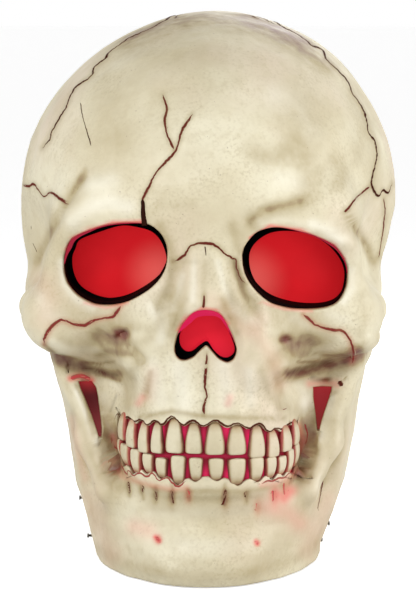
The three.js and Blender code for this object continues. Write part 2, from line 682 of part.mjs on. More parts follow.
function web([x, y]) {
  const out = Math.sign(x) * WEB_REACH;
  const wide = [Math.min(x, x + out), Math.max(x, x + out)];
  const z = [BASE_TOP + FIT, BASE_TOP + POST_TALL];
  return block(wide, [y - WALL / 2, y + WALL / 2], z).intersect(outside);
}

// A flat seat on the shell for the head of a side screw, and the room over it
function besideScrew([side, z], d) {
  const wall = reach([0, SIDE_SCREW_BACK, z], [side, 0, 0], 0);
  return [side * (wall + d), SIDE_SCREW_BACK, z];
}
const screwSeat = (at) => (
  bar(besideScrew(at, -WALL), besideScrew(at, 0), HEAD_RADIUS + SEAT_MARGIN).subtract(clearOfShell));
const screwRoom = (at) => bar(besideScrew(at, 0), besideScrew(at, 4 * HEAD_TALL), HEAD_RADIUS + 2 * FIT);

const screwHoles = [
  ...BASE_SCREWS.map(([x, y]) => bar([x, y, 0], [x, y, BASE_TOP + SCREW_LONG + HOLE_PAST], HOLE_RADIUS)),
  ...SIDE_SCREWS.map(([side, z]) => {
    const [from, to] = SIDE_HOLE.map((x) => [side * x, SIDE_SCREW_BACK, z]);
    return bar(from, to, HOLE_RADIUS);
  }),
];

function faceHalf() {
  const half = cutBy(shell.intersect(inFront(-SEAM_GAP / 2)), frontCuts());
  const posts = BASE_SCREWS.filter(([, y]) => y < 0).flatMap((at) => [post(at), web(at)]);
  return cutBy(joined([half, ...posts, ...SIDE_SCREWS.map(screwSeat), ...upperTeeth(), ...lowerTeeth()]),
    [...screwHoles, ...SIDE_SCREWS.map(screwRoom)]);
}

function rearHalf() {
  const half = shell.intersect(behind(SEAM_GAP / 2));
  const tongueZone = block([-DEEP, DEEP], [-LIP_REACH, LIP_THICK], [BASE_TOP + FIT, 2 * DEEP]);
  const inner = core(WALL + LIP_CLEARANCE + LIP_THICK, -DEEP);
  const tongue = core(WALL + LIP_CLEARANCE, -DEEP).subtract(inner).intersect(tongueZone);
  const root = core(WALL / 2, -DEEP).subtract(inner).intersect(tongueZone).intersect(behind(SEAM_GAP / 2));
  const posts = BASE_SCREWS.filter(([, y]) => y > 0).flatMap((at) => [post(at), web(at)]);
  const ears = [-1, 1].map((side) => hingeEar(side));
  const whole = joined([half, tongue, root, ...posts, ...ears]);
  const blind = trayScrews.map(([x, z]) => bar([x, trayBack, z], [x, PANEL_BACK - BLIND_SKIN, z], HOLE_RADIUS));
  return cutBy(whole, [...screwHoles, ...blind, doorway(0), hingeBore(PIN_RADIUS + FIT), switchSlot(0)]);
}

// Battery door, hinge and switch
const doorway = (grow) => block(
  [-DOORWAY_HALF - grow, DOORWAY_HALF + grow],
  [PANEL_BACK - 2 * WALL, PANEL_BACK + WALL],
  [DOORWAY_LOW - grow, DOORWAY_HIGH + grow],
);
const alongHinge = (half, radius) => bar([-half, PIN_BACK, PIN_UP], [half, PIN_BACK, PIN_UP], radius);
const hingeBore = (radius) => alongHinge(DOORWAY_HALF * 2, radius);

function switchSlot(grow) {
  const [half, tall] = SLIDER_HALF;
  const across = [SWITCH_ACROSS - half - FIT - grow, SWITCH_ACROSS + half + FIT + grow];
  const rise = tall + SLIDER_TRAVEL / 2 + FIT + grow;
  const up = [SWITCH_UP - rise, SWITCH_UP + rise];
  return block(across, [PANEL_BACK - 2 * WALL, PANEL_BACK + WALL], up);
}

function hingeEar(side) {
  const inner = KNUCKLE_HALF + FIT;
  const across = [inner, inner + EAR_THICK].map((x) => side * x).sort((a, b) => a - b);
  const up = [PIN_UP - KNUCKLE_RADIUS, PIN_UP + KNUCKLE_RADIUS];
  const arm = block(across, [PANEL_BACK - WALL / 2, PIN_BACK], up);
  return arm.add(bar([across[0], PIN_BACK, PIN_UP], [across[1], PIN_BACK, PIN_UP], KNUCKLE_RADIUS));
}

function batteryDoor() {
  const y = [PANEL_BACK + FIT, PANEL_BACK + FIT + DOOR_THICK];
  const side = DOORWAY_HALF + DOOR_LAP;
  const plate = block([-side, side], y, [DOORWAY_LOW - DOOR_FOOT, DOORWAY_HIGH + DOOR_LAP]);
  const arm = block([-KNUCKLE_HALF, KNUCKLE_HALF], y, [PIN_UP, DOORWAY_LOW]);
  const knuckle = alongHinge(KNUCKLE_HALF, KNUCKLE_RADIUS);
  const [half, deep, tall] = LATCH;
  const latchTop = DOORWAY_HIGH - 2 * FIT;
  const latch = block([-half, half], [y[0] - deep, y[1]], [latchTop - tall, latchTop]);
  const grips = [0, 1, 2].map((i) => {
    const z = DOORWAY_HIGH - GRIP_PITCH * (i + 1);
    return block([-half, half], [y[0], y[1] + GRIP_PROUD], [z - GRIP_TALL, z]);
  });
  return cutBy(joined([plate, arm, knuckle, latch, ...grips]), [hingeBore(PIN_RADIUS + FIT)]);
}

const trayBack = PANEL_BACK - WALL - TRAY_DEEP;
const boardFace = trayBack - PEG_TALL - FIT - BOARD_THICK;
const cellHeights = [-1, 0, 1].map((i) => CELLS_UP + i * CELL_PITCH);
const cellBack = trayBack + TRAY_WALL + FIT + CELL_RADIUS;
const trayScrewOut = DOORWAY_HALF + TRAY_WALL + FLANGE / 2 + TRAY_SCREW_OUT;
const trayScrews = [-1, 1].map((side) => [side * trayScrewOut, CELLS_UP]);
const trayPegs = [-1, 1].flatMap((side) => {
  const [x, inside] = PEG_IN;
  return [[side * x, DOORWAY_LOW + inside], [side * x, DOORWAY_HIGH - inside]];
});

function batteryTray() {
  const out = DOORWAY_HALF + TRAY_WALL;
  const z = [DOORWAY_LOW - TRAY_WALL, DOORWAY_HIGH + TRAY_WALL];
  const front = PANEL_BACK - WALL / 2;
  const body = block([-out, out], [trayBack, front], z);
  const flange = block([-out - FLANGE, out + FLANGE], [PANEL_BACK - WALL - TRAY_WALL, front], z);
  const pegs = trayPegs.map(([x, up]) => (
    bar([x, trayBack - PEG_TALL, up], [x, trayBack + TRAY_WALL / 2, up], PEG_RADIUS, 10)));
  const inside = block(
    [-DOORWAY_HALF, DOORWAY_HALF],
    [trayBack + TRAY_WALL, PANEL_BACK],
    [DOORWAY_LOW, DOORWAY_HIGH],
  );
  const holes = trayScrews.map(([x, up]) => bar([x, trayBack, up], [x, PANEL_BACK, up], HOLE_RADIUS));
  return cutBy(joined([body, flange]).intersect(clearOfShell).add(joined(pegs)), [inside, ...holes]);
}

function cell(height, direction) {
  const [nub, tall] = CELL_NUB;
  const shoulder = CELL_LONG - tall;
  const can = [[0, 0], [CELL_RADIUS, 0], [CELL_RADIUS, shoulder]];
  const end = [[nub, shoulder], [nub, CELL_LONG], [0, CELL_LONG]];
  return turned([...can, ...end], [(-direction * CELL_LONG) / 2, cellBack, height], [direction, 0, 0], 14);
}

function contact(side) {
  const face = DOORWAY_HALF - FIT;
  const x = [face - CONTACT_THICK, face].map((v) => side * v).sort((a, b) => a - b);
  const half = CELL_RADIUS * 0.6;
  const plate = block(x, [cellBack - half, cellBack + half], [cellHeights[0] - half, cellHeights[2] + half]);
  const long = face - CELL_LONG / 2 - FIT;
  const cone = [[0, 0], [SPRING_RADII[0], 0], [SPRING_RADII[1], long], [0, long]];
  return joined([plate, ...cellHeights.map((z) => turned(cone, [side * face, cellBack, z], [-side, 0, 0]))]);
}

function controlBoard() {
  const front = boardFace + BOARD_THICK;
  const inside = front - BOARD_THICK / 2;
  const up = [DOORWAY_LOW + CONTROL_MARGIN, DOORWAY_HIGH - CONTROL_MARGIN];
  const board = block([-CONTROL_HALF, CONTROL_HALF], [boardFace, front], up);
  const [half, tall] = CHIP_HALF;
  const chip = block([-half, half], [boardFace - CHIP_TALL, inside], [SWITCH_UP - tall, SWITCH_UP + tall]);
  const can = bar([CAN_ACROSS, inside, SWITCH_UP], [CAN_ACROSS, boardFace - CAN_TALL, SWITCH_UP], CAN_RADIUS);
  return joined([board, chip, can]);
}

function switchBody() {
  const [half, tall] = SWITCH_HALF;
  const front = PANEL_BACK - WALL - FIT;
  const body = block([SWITCH_ACROSS - half, SWITCH_ACROSS + half], [front - SWITCH_DEEP, front],
    [SWITCH_UP - tall, SWITCH_UP + tall]);
  return body.intersect(clearOfShell).subtract(switchSlot(FIT));
}

function switchSlider() {
  const [half, tall] = SLIDER_HALF;
  const middle = SWITCH_UP + SLIDER_TRAVEL / 2; // switched on
  const y = [PANEL_BACK - 2 * WALL + FIT, PANEL_BACK + SLIDER_PROUD];
  return block([SWITCH_ACROSS - half, SWITCH_ACROSS + half], y, [middle - tall, middle + tall]);
}

// Base
const bends = (a, b, c) => Math.abs((b[0] - a[0]) * (c[1] - a[1]) - (b[1] - a[1]) * (c[0] - a[0])) > 1;

function basePlate() {
  const outline = columnAngles.map((angle) => {
    const direction = [Math.cos(angle), Math.sin(angle), 0];
    const d = Math.min(...[BASE_BOTTOM, BASE_TOP].map((z) => reach([0, 0, z], direction, WALL + 2 * FIT)));
    return [direction[0] * d, direction[1] * d];
  });
  const holes = [...BASE_SCREWS, ...frameScrews].map((at) => [at, HOLE_RADIUS]);
  const stems = FEET.map((at) => [at, FOOT_STEM + 2 * FIT]);
  const corners = outline.filter((p, i) => bends(outline.at(i - 1), p, outline[(i + 1) % outline.length]));
  return upright(corners, [BASE_BOTTOM, BASE_TOP], [...holes, ...stems]);
}

const foot = ([x, y]) => turned([
  [0, 0], [FOOT_RADIUS - 1, 0], [FOOT_RADIUS, BASE_BOTTOM - FIT], [FOOT_STEM, BASE_BOTTOM - FIT],
  [FOOT_STEM, BASE_TOP + FIT], [FOOT_STEM + FOOT_BARB, BASE_TOP + FIT],
  [FOOT_STEM, BASE_TOP + FOOT_TIP], [0, BASE_TOP + FOOT_TIP],
], [x, y, 0], [0, 0, 1]);

// A round-headed screw, from the underside of its head along its shank
const screw = (at, direction, long) => turned([
  [0, -HEAD_TALL], [HEAD_RADIUS * 0.7, -HEAD_TALL * 0.85], [HEAD_RADIUS, -HEAD_TALL / 7], [HEAD_RADIUS, 0],
  [SCREW_RADIUS, 0], [SCREW_RADIUS, long - 1], [0, long],
], at, direction, 8);

const sideScrew = (at) => screw(besideScrew(at, FIT), [-at[0], 0, 0], SIDE_SCREW_LONG);

// Light traps and lenses
const ring = (outline, lap, y) => through(outline(lap + TRAP_WALL), y).subtract(through(outline(lap), y));
const eyeCup = (side) => (
  ring((grow) => eyeOutline(side, grow), TRAP_LAP, [-DEEP, EYE_CUP_BACK]).intersect(clearOfShell));

function eyeLens(side) {
  const steps = 4;
  const front = Array.from({ length: steps + 1 }, (_, i) => [i / steps, -LENS_BULGE * (1 - (i / steps) ** 2)]);
  const back = front.map(([r, y]) => [r, y + LENS_THICK]).reverse();
  const profile = [...front, ...back].map(([r, y]) => new THREE.Vector2(r, y));
  const geometry = new THREE.LatheGeometry(profile, EYE_SIDES);
  const [a, b] = EYE_HALF.map((half) => half + TRAP_LAP - 2 * FIT);
  geometry.scale(a, 1, b);
  geometry.rotateY(side * EYE_TILT);
  geometry.translate(side * EYE_ACROSS, EYE_LENS_EDGE, EYE_UP);
  return solidOf(geometry);
}

const eyeBoardBack = EYE_CUP_BACK + FIT + BOARD_THICK;
const eyeBoard = (side) => (
  through(eyeOutline(side, TRAP_LAP + TRAP_WALL), [EYE_CUP_BACK + FIT, eyeBoardBack]).intersect(clearOfShell));
function lamp(x, y, z) {
  const [margin, foot] = LAMP_FOOT;
  return turned([
    [0, 0], [LAMP_RADIUS + margin, 0], [LAMP_RADIUS + margin, foot], [LAMP_RADIUS, foot],
    [LAMP_RADIUS, LAMP_LONG - LAMP_RADIUS], [LAMP_RADIUS * 0.7, LAMP_LONG - LAMP_RADIUS * 0.3], [0, LAMP_LONG],
  ], [x, y - FIT, z], [0, -1, 0]);
}

const noseCup = () => ring(noseOutline, TRAP_LAP, [-DEEP, NOSE_CUP_BACK]).intersect(clearOfShell);
const noseLensBack = NOSE_LENS_FRONT + LENS_THICK;
const noseLens = () => through(noseOutline(TRAP_LAP - 2 * FIT), [NOSE_LENS_FRONT, noseLensBack]);
const noseBoardBack = NOSE_CUP_BACK + FIT + BOARD_THICK;
const noseBoard = () => through(noseOutline(TRAP_LAP + TRAP_WALL), [NOSE_CUP_BACK + FIT, noseBoardBack]);

function mouthLens() {
  const steps = 12;
  const angles = Array.from({ length: 2 * steps + 1 }, (_, i) => (i / steps - 1) * MOUTH_TURN);
  const arc = (inward) => angles.map((angle) => archPoint(angle, inward));
  const front = TOOTH_THICK + FIT;
  const strip = [...arc(front), ...arc(front + LENS_THICK).reverse()];
  const z = [MOUTH_LOW - MOUTH_LENS_LAP, MOUTH_HIGH + MOUTH_LENS_LAP];
  return upright(strip, z).intersect(clearOfShell);
}

// Frame that stands on the base plate and carries the lamps
const frameFront = eyeBoardBack + FIT;
const frameBack = frameFront + FRAME_THICK;
const frameMiddle = (frameFront + frameBack) / 2;
const frameScrews = [-1, 1].map((side) => [side * FRAME_SCREWS, frameMiddle]);
const mouthBoardBack = MOUTH_BOARD_FRONT + BOARD_THICK;

function lampFrame() {
  const [footHalf, footTall] = FRAME_FOOT;
  const y = [frameFront, frameBack];
  const post = block([-FRAME_HALF, FRAME_HALF], y, [BASE_TOP + FIT, EYE_UP + FRAME_HALF]);
  const across = EYE_ACROSS + EYE_HALF[0] / 2;
  const cross = block([-across, across], y, [EYE_UP - FRAME_HALF, EYE_UP + FRAME_HALF]);
  const depth = [frameMiddle - HEEL_HALF, frameMiddle + HEEL_HALF];
  const heel = block([-footHalf, footHalf], depth, [BASE_TOP + FIT, BASE_TOP + footTall]);
  const [half, tall] = ARM_HALF;
  const arms = [[BITE_UP, mouthBoardBack], [NOSE_UP, noseBoardBack]].map(([z, front]) => (
    block([-half, half], [front + FIT, frameBack], [z - tall, z + tall])));
  const tip = BASE_TOP + SCREW_LONG;
  const holes = frameScrews.map(([x, back]) => bar([x, back, 0], [x, back, tip], HOLE_RADIUS));
  return cutBy(joined([post, cross, heel, ...arms]), holes);
}

function mouthBoard() {
  const [half, tall] = MOUTH_BOARD_HALF;
  return block([-half, half], [MOUTH_BOARD_FRONT, mouthBoardBack], [BITE_UP - tall, BITE_UP + tall]);
}

// A wire along a smooth line through its points
function wire(points) {
  const path = new THREE.CatmullRomCurve3(points.map((p) => new THREE.Vector3(...p)), false, 'centripetal');
  const section = new THREE.Shape(Array.from({ length: 6 }, (_, i) => (
    new THREE.Vector2(WIRE_RADIUS * Math.cos((TURN * i) / 6), WIRE_RADIUS * Math.sin((TURN * i) / 6)))));
  return solidOf(new THREE.ExtrudeGeometry(section, { steps: points.length * 2, extrudePath: path }));
}

const alongFrame = frameFront - 2 * FIT - WIRE_RADIUS;
const onBase = BASE_TOP + FIT + WIRE_RADIUS;
const besideArm = ARM_HALF[0] + FIT + WIRE_RADIUS;
const heelFront = frameMiddle - HEEL_HALF - FIT - WIRE_RADIUS;
const heelBack = frameMiddle + HEEL_HALF + FIT + WIRE_RADIUS;

function mainWire() {
  const atBoard = BOARD_WIRE.map(([x, before, over]) => [x, boardFace - before, DOORWAY_LOW + over]);
  const onFloor = FLOOR_WIRE.map(([x, y, over]) => [x, y, onBase + over]);
  const besideHeel = HEEL_WIRE.map(([x, behindHeel, over]) => [x, heelBack + behindHeel, onBase + over]);
  const heelTop = BASE_TOP + FRAME_FOOT[1];
  const rising = RISING_WIRE.map(([x, before, over]) => [x, heelFront - before, heelTop + over]);
  const heights = [heelTop + 48, BITE_UP, NOSE_UP, EYE_UP - 26];
  const upFrame = heights.map((z) => [FRAME_WIRE_OUT, alongFrame, z]);
  return wire([...atBoard, ...onFloor, ...besideHeel, ...rising, ...upFrame]);
}

function eyeWire(side) {
  const behindBoard = eyeBoardBack - BOARD_THICK / 2;
  const end = EYE_ACROSS - EYE_HALF[0] - TRAP_LAP - TRAP_WALL - 1;
  const onFrame = EYE_WIRE.map(([x, over]) => [side * x, alongFrame, EYE_UP + over]);
  return wire([...onFrame, [side * EYE_WIRE_END, behindBoard, EYE_UP], [side * end, behindBoard, EYE_UP]]);
}

function armWire(z, end) {
  const bend = ARM_WIRE.map(([before, over], i) => (
    [i < 2 ? -FRAME_WIRE_OUT : -besideArm, alongFrame - before, z + over]));
  const depths = [(alongFrame + end) / 2, end + ARM_WIRE_END, end + FIT];
  return wire([...bend, ...depths.map((y) => [-besideArm, y, z])]);
}

function switchWire() {
  const start = [SWITCH_ACROSS - SWITCH_HALF[0] - 2 * FIT, PANEL_BACK - SWITCH_DEEP, SWITCH_UP];
  const way = SWITCH_WIRE.map(([x, y]) => [x, y, SWITCH_UP]);
  const y = boardFace + BOARD_THICK / 2;
  const ends = [SWITCH_WIRE_BEND, FIT].map((out) => [CONTROL_HALF + out, y, SWITCH_UP]);
  return wire([start, ...way, ...ends]);
}

add('face_shell', faceHalf(), ivory);
add('rear_shell', rearHalf(), ivory);
add('base_plate', basePlate(), ivory);
FEET.forEach((at, i) => add(`foot_${i + 1}`, foot(at), rubber));
const plateScrew = ([x, y]) => screw([x, y, BASE_BOTTOM - FIT], [0, 0, 1], SCREW_LONG);
BASE_SCREWS.forEach((at, i) => add(`base_screw_${i + 1}`, plateScrew(at), steel));
frameScrews.forEach((at, i) => add(`frame_screw_${i + 1}`, plateScrew(at), steel));
SIDE_SCREWS.forEach((at, i) => add(`side_screw_${i + 1}`, sideScrew(at), steel));
[-1, 1].forEach((side) => {
  const name = side < 0 ? 'left' : 'right'; // as seen from the front
  add(`eye_cup_${name}`, eyeCup(side), blackPlastic);
  add(`eye_lens_${name}`, eyeLens(side), redClear);
  add(`eye_board_${name}`, eyeBoard(side), boardGreen);
  add(`eye_lamp_${name}`, lamp(side * EYE_ACROSS, EYE_CUP_BACK, EYE_UP), redClear);
});
add('nose_cup', noseCup(), blackPlastic);
add('nose_lens', noseLens(), redClear);
add('nose_board', noseBoard(), boardGreen);
add('nose_lamp', lamp(0, NOSE_CUP_BACK, NOSE_UP), redClear);
add('mouth_lens', mouthLens(), redClear);
add('mouth_board', mouthBoard(), boardGreen);
[-1, 0, 1].forEach((i) => {
  add(`mouth_lamp_${i + 2}`, lamp(i * MOUTH_BOARD_HALF[0] * 0.7, MOUTH_BOARD_FRONT, BITE_UP), redClear);
});
add('lamp_frame', lampFrame(), blackPlastic);
add('battery_tray', batteryTray(), blackPlastic);
cellHeights.forEach((z, i) => add(`battery_${i + 1}`, cell(z, i === 1 ? 1 : -1), cellWrap));
add('contact_left', contact(-1), steel);
add('contact_right', contact(1), steel);
trayScrews.forEach(([x, z], i) => add(`tray_screw_${i + 1}`,
  screw([x, PANEL_BACK - WALL - TRAY_WALL - FIT, z], [0, 1, 0], TRAY_WALL + WALL - 1), steel));
add('battery_door', batteryDoor(), ivory);
add('hinge_pin', alongHinge(KNUCKLE_HALF + EAR_THICK, PIN_RADIUS), steel);
add('control_board', controlBoard(), boardGreen);
add('wire_main', mainWire(), redWire);
add('wire_eye_left', eyeWire(-1), redWire);
add('wire_eye_right', eyeWire(1), redWire);
add('wire_nose', armWire(NOSE_UP, noseBoardBack), blackWire);
add('wire_mouth', armWire(BITE_UP, mouthBoardBack), blackWire);
add('wire_switch', switchWire(), blackWire);
add('switch_body', switchBody(), blackPlastic);
add('switch_slider', switchSlider(), blackPlastic);

export default group;
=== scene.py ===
"""The light-up skull as a finished piece: moulded bone with painted cracks, red lenses, teeth and fittings.

Lengths are millimetres up to piece(), which turns them into metres. Front is -Y, up is +Z.
"""

import math

import bpy
import numpy as np
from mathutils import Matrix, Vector


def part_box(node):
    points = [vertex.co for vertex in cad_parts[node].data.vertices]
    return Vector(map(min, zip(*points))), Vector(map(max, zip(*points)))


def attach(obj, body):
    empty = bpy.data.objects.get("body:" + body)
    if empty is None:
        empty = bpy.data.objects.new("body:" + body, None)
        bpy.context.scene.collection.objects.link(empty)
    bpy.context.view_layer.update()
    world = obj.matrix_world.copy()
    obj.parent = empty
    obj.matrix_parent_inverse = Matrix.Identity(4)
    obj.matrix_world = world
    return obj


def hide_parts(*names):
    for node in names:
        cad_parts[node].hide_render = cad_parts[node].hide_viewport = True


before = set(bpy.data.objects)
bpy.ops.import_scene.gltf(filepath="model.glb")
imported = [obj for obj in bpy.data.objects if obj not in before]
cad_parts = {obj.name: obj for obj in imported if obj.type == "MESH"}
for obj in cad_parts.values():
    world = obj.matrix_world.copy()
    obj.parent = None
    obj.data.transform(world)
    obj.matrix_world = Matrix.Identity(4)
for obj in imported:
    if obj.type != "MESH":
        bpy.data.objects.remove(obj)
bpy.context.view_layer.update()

# The skull's sculpt: the same blended bodies as the solids
BRAIN_HALF = (205, 236, 209)
BRAIN_BACK = 16
BRAIN_UP = 380
WALL = 3
SEAM = 0.15  # half of the gap between the two shells
SHELL_FOOT = 1.5
PANEL_BACK = 106
PANEL_TOP = 118
FAR = 1e4
GROUND = -40
JAW_UP = (0, 26, 57, 81, 134, 187, 250)
JAW_HALF = (116, 126, 135, 143, 153, 164, 174)
CHIN_UP = (0, 14, 36, 62, 104)
CHIN_REACH = (170, 180, 182, 174, 184)
NECK_UP = (0, 60, 200)
NECK_HALF = (98, 108, 140)
NAPE_UP = (0, 110, 150, 200, 250)
NAPE_REACH = (128, 126, 138, 164, 190)
ARCH_BACK = -125
ARCH_HALF = (101, 118)
GUM_BACK = 7
MOUTH = (113, 173)
# Bodies that blend into the skull: points are across, depth and height, on one side of the middle.
# A column's centre is a depth, its reach the distance in front of that centre.
FOREHEAD_AT = (0, -84, 400)
FOREHEAD_HALF = (136, 148, 140)
MASK_CENTRE = -85  # the mask carries the eyes
MASK_HALF = 174
MASK_REACH = 144
MASK_SPAN = (246, 372)
MASK_BACK = -138
MASK_DEEPER = 330  # below this height the mask runs further back
BROW = ((60, -200, 388), (122, -176, 386))
BROW_END = ((124, -174, 382), (156, -142, 334))  # turns down beside the eye
TEMPLE_AT = (220, -108, 336)  # hollow of the temple
TEMPLE_HALF = (48, 60, 50)
CHEEK_AT = (146, -144, 272)
CHEEK_HALF = (42, 35, 34)
CHEEK_ARCH = ((166, -122, 272), (178, -80, 276), (176, 12, 286))
UNDER_CHEEK_AT = (118, -176, 206)  # hollow under the cheek
UNDER_CHEEK_HALF = (24, 46, 26)
UPPER_JAW_CENTRE = -112
UPPER_JAW_HALF = 97
UPPER_JAW_WIDER = 198  # above this height it widens
UPPER_JAW_REACH = 125
UPPER_JAW_SPAN = (150, 262)
UPPER_JAW_BACK = -40
NOSE_RIDGE = ((0, -204, 366), (0, -233, 300))
NOSE_SIDE = ((27, -206, 336), (54, -206, 240))
INNER_WALL_IN = 24  # inside the outline of the lower jaw
INNER_WALL_CENTRE = -62
INNER_WALL_REACH = (86, 150)  # in front and behind
INNER_WALL_SPAN = (50, 290)
BRANCH_THICK = 30
BRANCH_SPAN = (30, 236)
BRANCH_DEPTH = (-92, 14)  # its front and back edge at BRANCH_TURN
BRANCH_TURN = 90
JAW_RIDGE = ((147, -98, 208), (126, -122, 140), (106, -152, 92))
LOWER_JAW_CENTRE = -50
LOWER_JAW_IN = 2  # inside the outline of the lower jaw
LOWER_JAW_TOP = 108
LOWER_JAW_BACK = 14
TAPER_HALF = 146
TAPER_FROM = 52  # above this height the front of the lower jaw narrows
TAPER_REACH = 6  # in front of the chin line
CHIN_AT = (0, -198, 26)
CHIN_HALF = (56, 37, 27)
BED_REACH = 18  # bone above and below the mouth that follows the dental arch
NECK_FRONT = 120
NECK_TOP = 260
# The cast skull is a little uneven: at these heights it leans to the right, is wider and sits higher
# than the sculpt
UNEVEN_UP = (
    3, 12, 28, 46, 64, 81, 134, 170, 205, 218, 232, 246,
    258, 294, 329, 364, 382, 417, 453, 506, 541, 568, 585,
)
LEAN = (
    0, -0.8, -0.6, 1, 1.8, 1.6, 3.3, 2.2, 0.8, 2.4, 2.2, -0.6,
    -4, -5.5, -4.4, -2.2, -0.5, 0, 0.5, 2.2, 5.5, 7, 7,
)
WIDEN = (
    0, -2.2, -4, -3.4, -1, 1.6, 0, -2.2, -0.5, 3, 4.5, 1.5,
    -2, 0, -2, -1, 0.5, 1.6, 3.3, 2.1, 2.1, 0, -5,
)
RISE = (
    0, 0, 0, 0, 0, 0, 0, 0, 0, -3, -4.5, -3,
    -1.5, 0, 0, 0, 0, 0, 0.2, 1.4, 2.4, 3.1, 3.6,
)
WIDEN_FROM = 120
ARCH_LEAN = 2.7  # the lean at the teeth

# Camera
VIEW_FAR = 3200
VIEW_AT = 287  # height of the point it looks at
VIEW_TURN = 1.0
VIEW_RISE = 6.0
PHOTO = (416, 594)
PHOTO_AT = (208.5, 290)  # where that point lies in the photograph
PIXEL = 1.1  # millimetres to a pixel in the plane of the seam


def above(value, start):
    """How far a value lies above a start, or nothing."""
    return np.maximum(value - start, 0)


def join(a, b, blend):
    """The nearer of two distances, with the crease between them filled over a width."""
    h = above(blend, np.abs(a - b)) / blend
    return np.minimum(a, b) - h * h * blend / 4


def meet(a, b, blend):
    """The farther of two distances, with the edge between them rounded over a width."""
    return -join(-a, -b, blend)


def ellipsoid(x, y, z, centre, half):
    """Distance to an ellipsoid: its scaled radius over the slope of that radius."""
    q = [(v - c) / h for v, c, h in zip((x, y, z), centre, half)]
    k = np.sqrt(q[0] ** 2 + q[1] ** 2 + q[2] ** 2)
    slope = np.sqrt(sum((v / h) ** 2 for v, h in zip(q, half))) + 1e-9
    return k * (k - 1) / slope


def rod(x, y, z, start, end, radius, end_radius):
    """Distance to a round bar whose radius goes evenly from one end to the other."""
    along = np.subtract(end, start)
    off = [v - s for v, s in zip((x, y, z), start)]
    h = np.clip(sum(a * v for a, v in zip(along, off)) / (along @ along), 0, 1)
    far = np.sqrt(sum((v - h * a) ** 2 for v, a in zip(off, along)))
    return far - (radius + (end_radius - radius) * h)


def column(x, y, centre, half, front, back):
    """Distance to an upright oval column, with its own reach in front and behind."""
    q = y - centre
    depth = np.where(q < 0, front, back)
    k = np.sqrt((x / half) ** 2 + (q / depth) ** 2) + 1e-9
    return k * (k - 1) / (np.sqrt((x / half**2) ** 2 + (q / depth**2) ** 2) + 1e-9)


def slab(value, low, high):
    """Distance to the layer between two levels."""
    return np.maximum(low - value, value - high)


